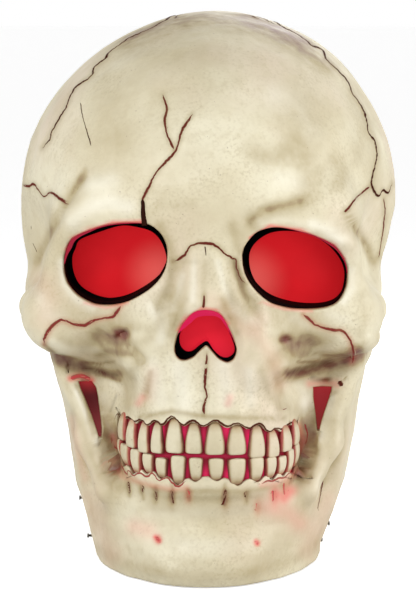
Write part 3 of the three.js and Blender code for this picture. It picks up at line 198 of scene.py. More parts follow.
def skull(x, y, z):
    """Signed distance to the skull's outer surface: brain case, face, jaws and neck, blended in turn."""
    lean, widen, rise = (np.interp(z, UNEVEN_UP, v) for v in (LEAN, WIDEN, RISE))
    x = np.abs(x - lean)
    x = x - widen * np.minimum(x / WIDEN_FROM, 1)
    z = z - rise
    half = np.interp(z, JAW_UP, JAW_HALF)
    reach = np.interp(z, CHIN_UP, CHIN_REACH)
    brow_bone = join(
        rod(x, y, z, *BROW, 13, 14),
        rod(x, y, z, *BROW_END, 13, 15),
        34,
    )
    mask = meet(column(x, y, MASK_CENTRE, MASK_HALF, MASK_REACH, FAR), slab(z, *MASK_SPAN), 84)
    cheek = join(
        ellipsoid(x, y, z, CHEEK_AT, CHEEK_HALF),
        rod(x, y, z, *CHEEK_ARCH[:2], 21, 15),
        24,
    )
    cheek = join(cheek, rod(x, y, z, *CHEEK_ARCH[1:], 15, 14), 20)
    wide = UPPER_JAW_HALF + 0.34 * above(z, UPPER_JAW_WIDER)
    maxilla = column(x, y, UPPER_JAW_CENTRE, wide, UPPER_JAW_REACH, FAR)
    maxilla = meet(maxilla, slab(z, *UPPER_JAW_SPAN), 30)
    nose_bones = join(
        rod(x, y, z, *NOSE_RIDGE, 10, 17),
        rod(x, y, z, *NOSE_SIDE, 13, 20),
        30,
    )
    inner_wall = column(x, y, INNER_WALL_CENTRE, half - INNER_WALL_IN, *INNER_WALL_REACH)
    inner_wall = meet(inner_wall, slab(z, *INNER_WALL_SPAN), 24)
    out = half + 0.07 * np.minimum(y, 0)
    branch = meet(np.maximum(x - out, out - BRANCH_THICK - x), slab(z, *BRANCH_SPAN), 16)
    branch_back = BRANCH_DEPTH[1] + 0.25 * above(z, BRANCH_TURN)
    branch = meet(branch, slab(y + 0.14 * (z - BRANCH_TURN), BRANCH_DEPTH[0], branch_back), 20)
    ridge = join(
        rod(x, y, z, *JAW_RIDGE[:2], 9, 10),
        rod(x, y, z, *JAW_RIDGE[1:], 10, 12),
        30,
    )
    jaw = column(x, y, LOWER_JAW_CENTRE, half - LOWER_JAW_IN, reach, FAR)
    jaw = meet(jaw, slab(z, GROUND, LOWER_JAW_TOP), 12)
    narrow = TAPER_HALF - 0.62 * above(z, TAPER_FROM)
    jaw = meet(jaw, column(x, y, LOWER_JAW_CENTRE, narrow, reach + TAPER_REACH, FAR), 30)
    arch = [v - GUM_BACK for v in ARCH_HALF]
    bed_span = slab(z, MOUTH[0] - BED_REACH, MOUTH[1] + BED_REACH)
    tooth_bed = meet(column(x, y, ARCH_BACK, arch[0], arch[1], FAR), bed_span, 12)
    neck_half, nape = np.interp(z, NECK_UP, NECK_HALF), np.interp(z, NAPE_UP, NAPE_REACH)
    neck = column(x, y, 0, neck_half, NECK_FRONT, nape)
    body = ellipsoid(x, y, z, (0, BRAIN_BACK, BRAIN_UP), BRAIN_HALF)
    body = join(body, ellipsoid(x, y, z, FOREHEAD_AT, FOREHEAD_HALF), 70)
    body = join(body, meet(mask, y - MASK_BACK - 0.34 * above(MASK_DEEPER, z), 34), 46)
    body = join(body, brow_bone, 44)
    body = meet(body, -ellipsoid(x, y, z, TEMPLE_AT, TEMPLE_HALF), 50)
    body = join(body, cheek, 30)
    body = join(body, meet(maxilla, y - UPPER_JAW_BACK, 20), 36)
    body = join(body, nose_bones, 30)
    body = join(body, inner_wall, 26)
    body = join(body, branch, 16)
    body = join(body, ridge, 18)
    body = join(body, meet(jaw, y - LOWER_JAW_BACK, 16), 20)
    body = join(body, ellipsoid(x, y, z, CHIN_AT, CHIN_HALF), 26)
    body = join(body, tooth_bed, 6)
    body = join(body, meet(neck, slab(z, GROUND, NECK_TOP), 20), 64)
    body = meet(body, -ellipsoid(x, y, z, UNDER_CHEEK_AT, UNDER_CHEEK_HALF), 36)
    return meet(body, y - PANEL_BACK - 0.9 * above(z, PANEL_TOP), 10)


def march(place, start, step, inset=0.0):
    """Length of every ray from outside to the skull. The step that enters it is halved again and again."""
    t = np.array(start, float)
    open_ = np.ones(t.shape, bool)
    for _ in range(400):
        gap = skull(*place(t, open_)) + inset
        ahead = gap > 0
        index = np.flatnonzero(open_)[ahead]
        t.flat[index] += step * np.maximum(0.6 * gap[ahead], 0.5)
        open_ = np.zeros(t.shape, bool)
        open_.flat[index] = np.abs(t.flat[index] - np.ravel(start)[index]) < 340
        if not open_.any():
            break
    every = np.ones(t.shape, bool)
    inside, outside = t.ravel(), t.ravel() - 6 * step
    for _ in range(12):
        middle = (inside + outside) / 2
        out = skull(*place(middle.reshape(t.shape), every)) + inset > 0
        outside = np.where(out, middle, outside)
        inside = np.where(out, inside, middle)
    return inside.reshape(t.shape)


def on_rays(turn, rise_line, inset=0.0):
    """Surface points on rays from the upright axis.

    A ray is level at its height up to the middle of the brain case. Above it, the rays fan out from
    there, and the height counts on along the dome.
    """
    turn, line = np.radians(turn), np.asarray(rise_line, float)
    lift = above(line, BRAIN_UP) / BRAIN_HALF[2]
    start = np.minimum(line, BRAIN_UP)
    way = np.cos(turn) * np.cos(lift), np.sin(turn) * np.cos(lift), np.sin(lift)

    def place(t, some):
        far = t[some]
        return way[0][some] * far, way[1][some] * far, start[some] + way[2][some] * far

    t = march(place, np.full(line.shape, 330.0), -1, inset)
    return np.stack([way[0] * t, way[1] * t, start + way[2] * t], -1)


def photo_ray(px, py, y):
    """The point at a depth that the camera sees at a pixel of the photograph."""
    scale = PIXEL * (VIEW_FAR + y) / VIEW_FAR
    rise = math.radians(VIEW_RISE)
    x = (px - PHOTO_AT[0]) * scale - y * math.tan(math.radians(VIEW_TURN))
    z = VIEW_AT + ((PHOTO_AT[1] - py) * scale - y * math.sin(rise)) / math.cos(rise)
    return x, y, z


def pixel_of(points):
    """The pixel of the photograph at which the camera sees a point."""
    x, y, z = np.moveaxis(np.asarray(points), -1, 0)
    scale = PIXEL * (VIEW_FAR + y) / VIEW_FAR
    rise = math.radians(VIEW_RISE)
    px = PHOTO_AT[0] + (x + y * math.tan(math.radians(VIEW_TURN))) / scale
    py = PHOTO_AT[1] - ((z - VIEW_AT) * math.cos(rise) + y * math.sin(rise)) / scale
    return np.stack([px, py], -1)


def seen_at(pixels):
    """Surface points that the camera sees at pixels of the photograph."""
    px, py = np.moveaxis(np.asarray(pixels, float), -1, 0)

    def place(t, some):
        return photo_ray(px[some], py[some], t[some])

    y = march(place, np.full(px.shape, -275.0), 1)
    return np.stack(photo_ray(px, py, y), -1)


def outward(points):
    """Unit normals of the skull's surface, from the slope of the distance."""
    x, y, z = np.moveaxis(points, -1, 0)
    e = 0.6
    slope = np.stack(
        [
            skull(x + e, y, z) - skull(x - e, y, z),
            skull(x, y + e, z) - skull(x, y - e, z),
            skull(x, y, z + e) - skull(x, y, z - e),
        ],
        -1,
    )
    return slope / (np.linalg.norm(slope, axis=-1, keepdims=True) + 1e-9)


def smooth_line(points, spacing, closed=False):
    """A smooth line through points, resampled to even steps (Catmull-Rom between each pair)."""
    p = np.asarray(points, float)
    p = np.vstack([p[-1], p, p[:2]]) if closed else np.vstack([2 * p[0] - p[1], p, 2 * p[-1] - p[-2]])
    a, b, c, d = p[:-3], p[1:-2], p[2:-1], p[3:]
    t = np.linspace(0, 1, 12, endpoint=False)[:, None, None]
    fine = 0.5 * (2 * b + (c - a) * t + (2 * a - 5 * b + 4 * c - d) * t**2 + (3 * b - a - 3 * c + d) * t**3)
    fine = np.vstack([fine.transpose(1, 0, 2).reshape(-1, p.shape[1]), p[-2]])
    run = np.r_[0, np.cumsum(np.linalg.norm(np.diff(fine, axis=0), axis=1))]
    count = max(int(round(run[-1] / spacing)), 2)
    at = np.linspace(0, run[-1], count + 1)
    line = np.stack([np.interp(at, run, fine[:, i]) for i in range(p.shape[1])], -1)
    return line[:-1] if closed else line


# Materials


class Paint:
    """A material and short ways to add nodes to it."""

    def __init__(self, name):
        self.material = bpy.data.materials.new(name)
        self.material.use_nodes = True
        self.tree = self.material.node_tree
        self.shader = self.tree.nodes["Principled BSDF"]
        self.place = self.add("ShaderNodeTexCoord").outputs["Object"]

    def add(self, kind, inputs=None, **settings):
        node = self.tree.nodes.new(kind)
        for key, value in settings.items():
            setattr(node, key, value)
        for key, value in (inputs or {}).items():
            self.feed(node.inputs[key], value)
        return node

    def feed(self, socket, value):
        if isinstance(value, bpy.types.NodeSocket):
            self.tree.links.new(value, socket)
        elif isinstance(value, tuple) and len(value) == 3 and len(socket.default_value) == 4:
            socket.default_value = (*value, 1)
        else:
            socket.default_value = value

    def set(self, **values):
        for key, value in values.items():
            self.feed(self.shader.inputs[key.replace("_", " ")], value)

    def noise(self, scale, detail=3.0, place=None):
        inputs = {"Vector": place or self.place, "Scale": scale, "Detail": detail}
        return self.add("ShaderNodeTexNoise", inputs).outputs["Fac"]

    def spread(self, value, low, high, to_low=0.0, to_high=1.0):
        inputs = {"Value": value, 1: low, 2: high, 3: to_low, 4: to_high}
        return self.add("ShaderNodeMapRange", inputs).outputs[0]

    def math(self, operation, a, b):
        return self.add("ShaderNodeMath", {0: a, 1: b}, operation=operation).outputs[0]

    def mix(self, share, a, b):
        return self.add("ShaderNodeMix", {0: share, 6: a, 7: b}, data_type="RGBA").outputs[2]

    def attribute(self, name):
        return self.add("ShaderNodeAttribute", attribute_name=name).outputs["Fac"]

    def bump(self, height, distance, strength=1.0, normal=None):
        inputs = {"Height": height, "Distance": distance, "Strength": strength}
        if normal is not None:
            inputs["Normal"] = normal
        return self.add("ShaderNodeBump", inputs).outputs["Normal"]


BONE_PALE = (0.78, 0.725, 0.545)
BONE_WARM = (0.62, 0.545, 0.365)
BONE_PINK = (0.72, 0.58, 0.47)
HIGHLIGHT_IVORY = (0.93, 0.90, 0.77)
SHADE_AND_STAIN_TAN = (0.40, 0.32, 0.165)
SHADE_AND_STAIN_BROWN = (0.15, 0.055, 0.032)
INK_AND_SHADOW_BROWN = (0.028, 0.009, 0.006)
GLOW_RED = (0.78, 0.06, 0.07)


def bone_paint():
    """Ivory plastic: mottled, painted shade and brown wash in the hollows, painted highlights, dark ink in
    the cracks with painted shadow spots, painted red glow at the openings.
    """
    paint = Paint("bone")
    mottle = paint.spread(paint.noise(11.0, 5.0), 0.36, 0.68)
    rosy = paint.spread(paint.noise(6.0, 2.0), 0.52, 0.72, 0.0, 0.55)
    colour = paint.mix(mottle, BONE_PALE, BONE_WARM)
    colour = paint.mix(rosy, colour, BONE_PINK)
    streaks = paint.spread(paint.noise(95.0, 6.0), 0.50, 0.74, 0.0, 0.5)
    colour = paint.mix(streaks, colour, BONE_WARM)
    speckle = paint.spread(paint.noise(300.0, 5.0), 0.48, 0.74, 0.0, 0.5)
    patches = paint.spread(paint.noise(16.0, 3.0), 0.44, 0.66, 0.1, 1.0)
    colour = paint.mix(paint.math("MULTIPLY", speckle, patches), colour, SHADE_AND_STAIN_TAN)
    grain = paint.spread(paint.noise(70.0, 6.0), 0.3, 0.7, 0.78, 1.2)
    wash = paint.math("MULTIPLY", paint.attribute("wash"), grain)
    # Painted highlight: lighter where the light falls on the bone
    colour = paint.mix(paint.attribute("pale"), colour, HIGHLIGHT_IVORY)
    # Painted shade and brown wash: tan, then brown where strongest
    colour = paint.mix(paint.spread(wash, 0.0, 0.6), colour, SHADE_AND_STAIN_TAN)
    colour = paint.mix(paint.spread(wash, 0.5, 1.0), colour, SHADE_AND_STAIN_BROWN)
    specks = paint.spread(paint.noise(320.0, 2.0), 0.72, 0.78, 0.0, 0.5)
    colour = paint.mix(specks, colour, SHADE_AND_STAIN_BROWN)
    colour = paint.mix(paint.attribute("glow"), colour, GLOW_RED)
    # Dark ink in the cracks, and painted shadow under the cheekbones and in the holes
    colour = paint.mix(paint.attribute("ink"), colour, INK_AND_SHADOW_BROWN)
    coarse = paint.bump(paint.noise(45.0, 4.0), 0.0016, 0.6)
    fine = paint.bump(paint.noise(300.0, 4.0), 0.0005, 0.6, coarse)
    paint.set(
        Base_Color=colour,
        Roughness=paint.spread(paint.noise(30.0, 3.0), 0.3, 0.7, 0.40, 0.56),
        Specular_IOR_Level=paint.spread(paint.attribute("ink"), 0.0, 0.6, 0.45, 0.0),
        Normal=fine,
    )
    return paint.material


def plastic_paint(name, colour, worn, roughness):
    """Moulded plastic: a fine grain, a slightly uneven colour and gloss."""
    paint = Paint(name)
    shade = paint.mix(paint.spread(paint.noise(28.0, 4.0), 0.35, 0.7), colour, worn)
    paint.set(
        Base_Color=shade,
        Roughness=paint.spread(paint.noise(60.0, 3.0), 0.3, 0.7, roughness, roughness + 0.14),
        Normal=paint.bump(paint.noise(600.0, 2.0), 0.0001, 0.4),
    )
    return paint.material


def metal_paint(name, colour, roughness):
    """Plated steel: brushed grain and a few dull patches."""
    paint = Paint(name)
    worn = tuple(0.55 * v for v in colour)
    shade = paint.mix(paint.spread(paint.noise(150.0, 4.0), 0.45, 0.75), colour, worn)
    paint.set(
        Base_Color=shade,
        Metallic=1.0,
        Roughness=paint.spread(paint.noise(200.0, 3.0), 0.3, 0.7, roughness, roughness + 0.2),
        Normal=paint.bump(paint.noise(900.0, 2.0), 0.00005, 0.3),
    )
    return paint.material


def glow_paint(name, near, middle, far, heart, reach, light, body=None):
    """Lit red plastic: bright round a point behind it and darker away from it."""
    paint = Paint(name)
    offset = paint.add("ShaderNodeVectorMath", {0: paint.place, 1: heart}, operation="DISTANCE")
    away = offset.outputs["Value"]
    ramp = paint.add("ShaderNodeValToRGB", {0: paint.spread(away, reach[0], reach[1])})
    ramp.color_ramp.interpolation = "EASE"
    ramp.color_ramp.elements[0].color = (*near, 1)
    ramp.color_ramp.elements[1].color = (*far, 1)
    ramp.color_ramp.elements.new(0.42).color = (*middle, 1)
    flicker = paint.spread(paint.noise(40.0, 2.0), 0.2, 0.8, 0.94, 1.04)
    lit = paint.add(
        "ShaderNodeVectorMath", {0: ramp.outputs[0], "Scale": flicker}, operation="SCALE"
    ).outputs["Vector"]
    paint.set(
        Base_Color=body or far,
        Emission_Color=lit,
        Emission_Strength=light,
        Roughness=0.5,
        Specular_IOR_Level=0.06,
    )
    return paint.material


def board_paint():
    """Green circuit board: faint tracks under the lacquer."""
    paint = Paint("circuit_board")
    tracks = paint.add("ShaderNodeTexWave", {"Vector": paint.place, "Scale": 260.0, "Distortion": 3.0})
    raised = paint.spread(tracks.outputs["Fac"], 0.45, 0.6)
    colour = paint.mix(raised, (0.01, 0.10, 0.03), (0.03, 0.20, 0.07))
    paint.set(Base_Color=colour, Roughness=0.35)
    return paint.material


bone = bone_paint()
black = plastic_paint("black_plastic", (0.004, 0.004, 0.004), (0.007, 0.006, 0.006), 0.6)
# Near-black with little gloss: it paints the shade inside the eye and nose sockets as well as a black part
matt_black_shade = plastic_paint("matt_black_shade", (0.0006, 0.0006, 0.0006), (0.001, 0.0008, 0.0008), 0.8)
matt_black_shade.node_tree.nodes["Principled BSDF"].inputs["Specular IOR Level"].default_value = 0.05
rubber = plastic_paint("rubber", (0.012, 0.012, 0.012), (0.03, 0.03, 0.028), 0.75)
wrap = plastic_paint("battery_wrap", (0.02, 0.035, 0.10), (0.03, 0.05, 0.13), 0.3)
red_wire = plastic_paint("red_wire", (0.42, 0.02, 0.02), (0.5, 0.04, 0.03), 0.45)
black_wire = plastic_paint("black_wire", (0.01, 0.01, 0.01), (0.02, 0.02, 0.02), 0.5)
steel = metal_paint("steel", (0.52, 0.52, 0.50), 0.28)
dark_steel = metal_paint("dark_steel", (0.16, 0.155, 0.15), 0.34)
board = board_paint()
lamp = glow_paint("lamp", (1.0, 0.35, 0.3), (0.9, 0.12, 0.1), (0.7, 0.03, 0.03),
                  (0, -0.15, 0.3), (0.0, 0.3), 1.2)


# Meshes


def piece(name, points, faces, material, body="skull", replaced=(), slot=None, **values):
    """An object from points in millimetres and arrays of faces. Each attribute has one value to a point."""
    mesh = bpy.data.meshes.new(name)
    faces = [np.asarray(f, np.int64) for f in faces if len(f)]
    loops = np.concatenate([f.ravel() for f in faces])
    sides = np.concatenate([np.full(len(f), f.shape[1]) for f in faces])
    mesh.vertices.add(len(points))
    mesh.vertices.foreach_set("co", (np.asarray(points) * 0.001).astype(np.float32).ravel())
    mesh.loops.add(len(loops))
    mesh.loops.foreach_set("vertex_index", loops.astype(np.int32))
    mesh.polygons.add(len(sides))
    mesh.polygons.foreach_set("loop_start", (np.cumsum(sides) - sides).astype(np.int32))
    mesh.polygons.foreach_set("use_smooth", np.ones(len(sides), bool))
    mesh.update(calc_edges=True)
    mesh.validate()
    for key, value in values.items():
        layer = mesh.attributes.new(key, "FLOAT", "POINT")
        layer.data.foreach_set("value", np.broadcast_to(value, len(points)).astype(np.float32))
    mesh.materials.append(material)
    made = bpy.data.objects.new(name, mesh)
    bpy.context.scene.collection.objects.link(made)
    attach(made, body)
    if replaced:
        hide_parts(*replaced)
    return made


def band(first, second):
    """Quads between two chains of point numbers of the same length, the second to the left of the first."""
    return np.stack([first[:-1], first[1:], second[1:], second[:-1]], -1)


def fan(fine, coarse):
    """Triangles between a fine chain and a coarse one with a quarter of its steps, to the left of it."""
    a = fine[:-1].reshape(-1, 4)
    b = fine[1:].reshape(-1, 4)
    near = np.stack([coarse[:-1], coarse[:-1], coarse[1:], coarse[1:]], -1)
    middle = np.stack([b[:, 1], coarse[1:], coarse[:-1]], -1)
    return np.vstack([np.stack([a, b, near], -1).reshape(-1, 3), middle])


def closed(chain):
    """A chain of point numbers with its first at its end again."""
    return np.r_[chain, chain[:1]]


def rings(points, around=True):
    """Quads between the rings of points (ring, place on it). They face out if the rings run left."""
    count, size = points.shape[:2]
    number = np.arange(count * size).reshape(count, size)
    number = np.hstack([number, number[:, :1]]) if around else number
    return np.concatenate([band(number[k], number[k + 1]) for k in range(count - 1)])


# Openings, traced in the photograph as closed outlines
EYE_RIMS = (
    (
        (64.6, 261.6), (66.6, 251.4), (72.9, 238.9), (88.9, 231.0), (113.1, 224.4), (143.7, 224.0),
        (157.8, 231.0), (165.4, 243.8), (166.9, 260.4), (162.9, 274.4), (152.7, 287.1), (137.3, 297.3),
        (122.0, 303.7), (106.7, 305.6), (92.7, 303.7), (78.7, 296.1), (69.1, 285.9), (64.9, 274.4),
    ),
    (
        (242.0, 257.1), (244.8, 246.1), (255.1, 233.7), (268.9, 227.5), (282.6, 227.5), (299.2, 231.0),
        (317.1, 236.5), (333.6, 245.4), (343.3, 258.5), (346.7, 270.9), (345.3, 287.4), (337.7, 301.2),
        (324.0, 307.4), (301.9, 309.1), (282.6, 306.7), (267.5, 301.2), (255.1, 290.2), (245.5, 275.0),
    ),
)
EYE_LENSES = (
    (
        (73.6, 257.8), (76.8, 248.9), (81.2, 240.6), (99.1, 233.6), (120.8, 227.2), (137.3, 228.5),
        (151.4, 232.9), (160.3, 242.5), (165.2, 256.5), (164.1, 264.2), (155.2, 278.2), (139.9, 289.7),
        (122.0, 296.1), (108.0, 296.7), (94.0, 292.9), (81.2, 284.6), (74.8, 271.8),
    ),
    (
        (250.3, 261.3), (251.7, 250.2), (259.2, 240.6), (271.6, 233.7), (288.2, 232.1), (307.4, 235.1),
        (324.0, 243.4), (336.4, 255.8), (342.6, 269.5), (341.9, 284.7), (336.4, 297.1), (324.0, 304.0),
        (310.2, 304.7), (293.7, 302.6), (274.4, 295.7), (260.6, 286.1), (253.0, 273.7),
    ),
)
NOSE_RIM = (
    (202.4, 310.1), (193.5, 312.7), (185.8, 320.3), (179.4, 330.5), (175.0, 344.5), (174.6, 352.2),
    (178.2, 358.6), (184.5, 360.7), (193.5, 357.3), (201.1, 349.6), (206.4, 345.9), (211.7, 351.5),
    (217.9, 358.4), (226.2, 362.5), (233.1, 359.8), (236.5, 352.2), (236.1, 346.7), (231.7, 334.3),
    (226.2, 323.3), (220.7, 315.0), (212.4, 310.9),
)
NOSE_LENS = (
    (203.0, 311.0), (194.5, 315.0), (187.0, 322.5), (182.3, 331.0), (180.5, 338.2), (182.0, 345.8),
    (187.1, 350.5), (193.5, 349.6), (201.1, 343.3), (206.9, 340.1), (212.4, 348.0), (219.3, 354.9),
    (226.2, 356.7), (232.4, 352.9), (233.5, 346.7), (229.6, 335.6), (224.5, 325.0), (218.5, 316.5),
    (211.5, 312.0),
)
# Slots of the jaw: rows of the photograph with the left and right edge
SLOTS = (
    ((382, 78.0, 91.0), (388, 79.5, 95.5), (396, 83.0, 97.0), (408, 88.0, 98.5), (420, 92.0, 100.0),
     (430, 95.5, 100.8), (438, 97.8, 100.2)),
    ((387, 313.5, 332.0), (393, 313.8, 331.5), (400, 314.2, 329.5), (410, 315.5, 326.0),
     (420, 316.8, 322.8), (430, 318.0, 320.4)),
)
EYE_HEARTS = ((116.5, 263.0), (295.0, 268.0))  # the outlines are stars about these pixels
NOSE_HEART = (205.5, 334.0)


def star(outline, heart, project=seen_at):
    """Direction and reach, in x and z, of a closed outline seen from a point inside it."""
    line = smooth_line(outline, 0.8, closed=True)
    line = project(line)[:, [0, 2]]
    middle = project(np.array([heart]))[0, [0, 2]]
    off = line - middle
    turn = np.arctan2(off[:, 1], off[:, 0])
    order = np.argsort(turn)
    turn, far = turn[order], np.hypot(*off.T)[order]
    turn = np.r_[turn - 2 * np.pi, turn, turn + 2 * np.pi]
    return middle, turn, np.tile(far, 3)


def along_star(shape, turn, grow=0.0):
    """Points x and z on such an outline, in given directions, moved outwards by a width."""
    middle, turns, far = shape
    reach = np.interp(turn, turns, far) + grow
    return middle + np.stack([np.cos(turn), np.sin(turn)], -1) * reach[..., None]


def facing(x, z):
    """Surface points straight behind places of the front view."""

    def place(t, some):
        return x[some], t[some], z[some]

    y = march(place, np.full(np.shape(x), -275.0), 1)
    return np.stack([x, y, z], -1)


# Teeth in the photograph: left and right side, neck and biting edge
UPPER_TEETH = (
    (111.0, 122.0, 411.0, 437.0), (123.0, 133.6, 418.0, 446.0), (135.0, 147.0, 421.0, 452.0),
    (148.0, 161.5, 422.0, 453.0), (163.0, 183.0, 418.0, 453.0), (183.4, 203.0, 423.0, 454.0),
    (203.6, 226.4, 422.0, 455.5), (226.9, 248.6, 425.0, 456.0), (249.6, 268.0, 425.0, 459.0),
    (268.6, 282.4, 430.0, 458.5), (283.2, 295.0, 425.0, 453.0), (295.6, 305.0, 418.0, 446.0),
)
LOWER_TEETH = (
    (111.0, 117.2, 457.0, 440.0), (117.8, 126.7, 467.0, 444.0), (127.5, 138.6, 476.0, 450.0),
    (139.6, 151.6, 475.0, 455.0), (153.0, 166.0, 480.0, 459.5), (168.5, 185.6, 486.5, 457.5),
    (187.4, 203.4, 483.0, 460.0), (207.6, 225.4, 482.0, 461.0), (227.8, 248.2, 487.0, 461.5),
    (250.4, 266.6, 483.0, 460.5), (267.4, 279.4, 480.0, 460.0), (279.8, 289.2, 476.5, 459.0),
    (289.8, 296.4, 475.0, 452.0), (296.8, 301.6, 468.0, 447.0),
)
TOOTH_IN = 2.5  # tooth faces behind the front of the arch
TOOTH_DEEP = 8.0


def arch_point(angle, inward):
    """A point of the dental arch, seen from above."""
    return np.stack(
        [
            ARCH_LEAN + (ARCH_HALF[0] - inward) * np.sin(angle),
            ARCH_BACK - (ARCH_HALF[1] - inward) * np.cos(angle),
        ],
        -1,
    )


def on_arch(px, py, inward):
    """Angle along the arch and height of what the camera sees at a pixel on it."""
    angles = np.linspace(-1.45, 1.45, 1200)
    x, y = arch_point(angles, inward).T
    column_of = pixel_of(np.stack([x, y, np.zeros_like(x)], -1))[:, 0]
    angle = np.interp(px, column_of, angles)
    depth = arch_point(angle, inward)[..., 1]
    return angle, photo_ray(px, py, depth)[2]


def gum_lines():
    """Heights of the edges of the mouth over the arch's angle: scallops over the necks of the teeth."""
    lines = []
    for teeth, sign in ((LOWER_TEETH, -1), (UPPER_TEETH, 1)):
        left, right, neck, _ = np.array(teeth).T
        a, z = on_arch((left + right) / 2, neck, GUM_BACK)
        wide = on_arch(right, neck, GUM_BACK)[0] - on_arch(left, neck, GUM_BACK)[0]
        at = np.linspace(-1.5, 1.5, 900)
        level = np.interp(at, a, z)
        nearest = np.abs(at[:, None] - a) / (wide / 2)
        scallop = np.cos(np.clip(nearest.min(1), 0, 1) * np.pi)
        lines.append((at, level + sign * (2.6 * scallop - 1.0)))
    return lines


gum_low, gum_high = gum_lines()


def arch_angle(turn):
    """The arch's angle on a ray from the skull's axis."""
    angles = np.linspace(-1.5, 1.5, 900)
    x, y = arch_point(angles, GUM_BACK).T
    return np.interp(turn, np.degrees(np.arctan2(y, x)), angles)


# Grids of the shells: places along each side and the number of cells between them
FACE_TURNS = ((-90, -82, -78, -55, -47, -42, -37, -18, 0), (16, 8, 44, 16, 8, 8, 28, 20))
FACE_LINES = (
    (SHELL_FOOT, 113, 145, 173, 218, 236, 290, 376, 450, 706),
    (56, 16, 16, 24, 8, 28, 44, 28, 64),
)
DOORWAY = (31, 46, 94)
SWITCH_GAP = (55.3, 60.7, 63.0, 77.0)


def turn_of(x):
    """Ray on which a place of the back panel lies."""
    return math.degrees(math.atan2(PANEL_BACK, x))


REAR_TURNS = (
    (0, turn_of(SWITCH_GAP[1]), turn_of(SWITCH_GAP[0]), turn_of(DOORWAY[0]), turn_of(-DOORWAY[0]), 180),
    (40, 4, 8, 24, 48),
)
REAR_LINES = (
    (SHELL_FOOT, DOORWAY[1], SWITCH_GAP[2], SWITCH_GAP[3], DOORWAY[2], PANEL_TOP, BRAIN_UP, 706),
    (24, 8, 8, 8, 12, 100, 80),
)


def steps(places, counts):
    """Even steps between places, as one list."""
    parts = [np.linspace(a, b, n, endpoint=False) for a, b, n in zip(places, places[1:], counts)]
    return np.r_[np.concatenate(parts), places[-1]]


def mirrored(turns):
    """Columns of the whole face from those of its right half."""
    right = steps(*turns)
    return np.r_[-180 - right[::-1], right[1:]]


def cell_at(values, at):
    """Number of the grid line at a place."""
    return int(np.argmin(np.abs(values - at)))


def smooth_step(v):
    """An even rise from 0 to 1 without corners."""
    v = np.clip(v, 0, 1)
    return v * v * (3 - 2 * v)


def block(turns, lines, turn_span, line_span, margins, outline, rim):
    """A patch of cells that is an opening: its corners, its bend of the lines round it, and its rim."""
    return {
        "i": [cell_at(turns, t) for t in turn_span],
        "j": [cell_at(lines, s) for s in line_span],
        "margins": margins,
        "outline": outline,
        "rim": rim,
    }


def bent(turns, lines, blocks):
    """Ray directions and heights of all grid points, with the lines bent round each opening's outline."""
    turn, line = np.meshgrid(turns, lines)
    moved = [turn.copy(), line.copy()]
    for b in blocks:
        (t0, t1), (s0, s1) = turns[b["i"]], lines[b["j"]]
        left, right, down, up = b["margins"]
        middle = (t0 + t1) / 2, (s0 + s1) / 2
        half = (t1 - t0) / 2, (s1 - s0) / 2
        a, c = (turn - middle[0]) / half[0], (line - middle[1]) / half[1]
        far = np.maximum(np.maximum(np.abs(a), np.abs(c)), 1e-6)
        near = (
            smooth_step(1 - above(t0, turn) / left) * smooth_step(1 - above(turn, t1) / right)
            * smooth_step(1 - above(s0, line) / down) * smooth_step(1 - above(line, s1) / up)
        )
        some = (far > 0.999) & (near > 0)
        a, c = (a / far)[some], (c / far)[some]
        goal = b["outline"](a, c, middle, half)
        moved[0][some] += near[some] * (goal[0] - (middle[0] + half[0] * a))
        moved[1][some] += near[some] * (goal[1] - (middle[1] + half[1] * c))
    return moved


RIM_ROLL = 2.4
SLOT_ROLL = 1.4


def star_block(shape):
    """Outline of an opening that is cut straight back: on the sculpt, a little outside its edge."""
    turn = np.linspace(-np.pi, np.pi, 361)
    x, z = along_star(shape, turn, RIM_ROLL).T
    points = facing(x, z)
    rays = np.degrees(np.arctan2(points[:, 1], points[:, 0])), points[:, 2]

    def outline(a, c, middle, half):
        at = np.arctan2(c, a)
        return np.interp(at, turn, rays[0]), np.interp(at, turn, rays[1])

    def rim(loop):
        """Rings from the surface round a rolled edge and straight back through the wall."""
        off = shape[0] - loop[:, [0, 2]]
        off /= np.linalg.norm(off, axis=1, keepdims=True)
        inward = np.stack([off[:, 0], np.zeros(len(off)), off[:, 1]], -1)
        back = np.array([0, 1, 0])
        bend = np.radians([22, 45, 68, 90])
        made = [loop + RIM_ROLL * (np.sin(v) * inward + (1 - np.cos(v)) * back) for v in bend]
        return made + [made[-1] + WALL * back]

    return outline, rim


def wedge(rows):
    """Heights of an upright slot's edges, from the bottom up, with the left and right edge at each."""
    row, left, right = np.array(rows[::-1], float).T
    west, east = seen_at(np.stack([left, row], -1)), seen_at(np.stack([right, row], -1))
    return (west[:, 2] + east[:, 2]) / 2, west[:, 0], east[:, 0]


def wedge_block(edges):
    """Outline of a slot with its rolled edge, and its rim."""
    levels, west, east = edges
    low, high = levels[0], levels[-1]

    def outline(a, c, middle, half):
        z = low - SLOT_ROLL + (high - low + 2 * SLOT_ROLL) * (c + 1) / 2
        left, right = np.interp(z, levels, west) - SLOT_ROLL, np.interp(z, levels, east) + SLOT_ROLL
        points = facing(left + (right - left) * (a + 1) / 2, z)
        return np.degrees(np.arctan2(points[:, 1], points[:, 0])), z

    def rim(loop):
        """Rings round a rolled edge and straight back through the wall."""
        z = loop[:, 2]
        left, right = np.interp(z, levels, west), np.interp(z, levels, east)
        across = np.clip(((left + right) / 2 - loop[:, 0]) / ((right - left) / 2 + SLOT_ROLL), -1, 1)
        up = 1.0 * (z < low - SLOT_ROLL / 2) - 1.0 * (z > high + SLOT_ROLL / 2)
        inward = np.stack([across, 0 * z, up], -1)
        back = np.array([0, 1, 0])
        bend = np.radians([30, 60, 90])
        made = [loop + SLOT_ROLL * (np.sin(v) * inward + (1 - np.cos(v)) * back) for v in bend]
        return made + [made[-1] + WALL * back]

    return outline, rim


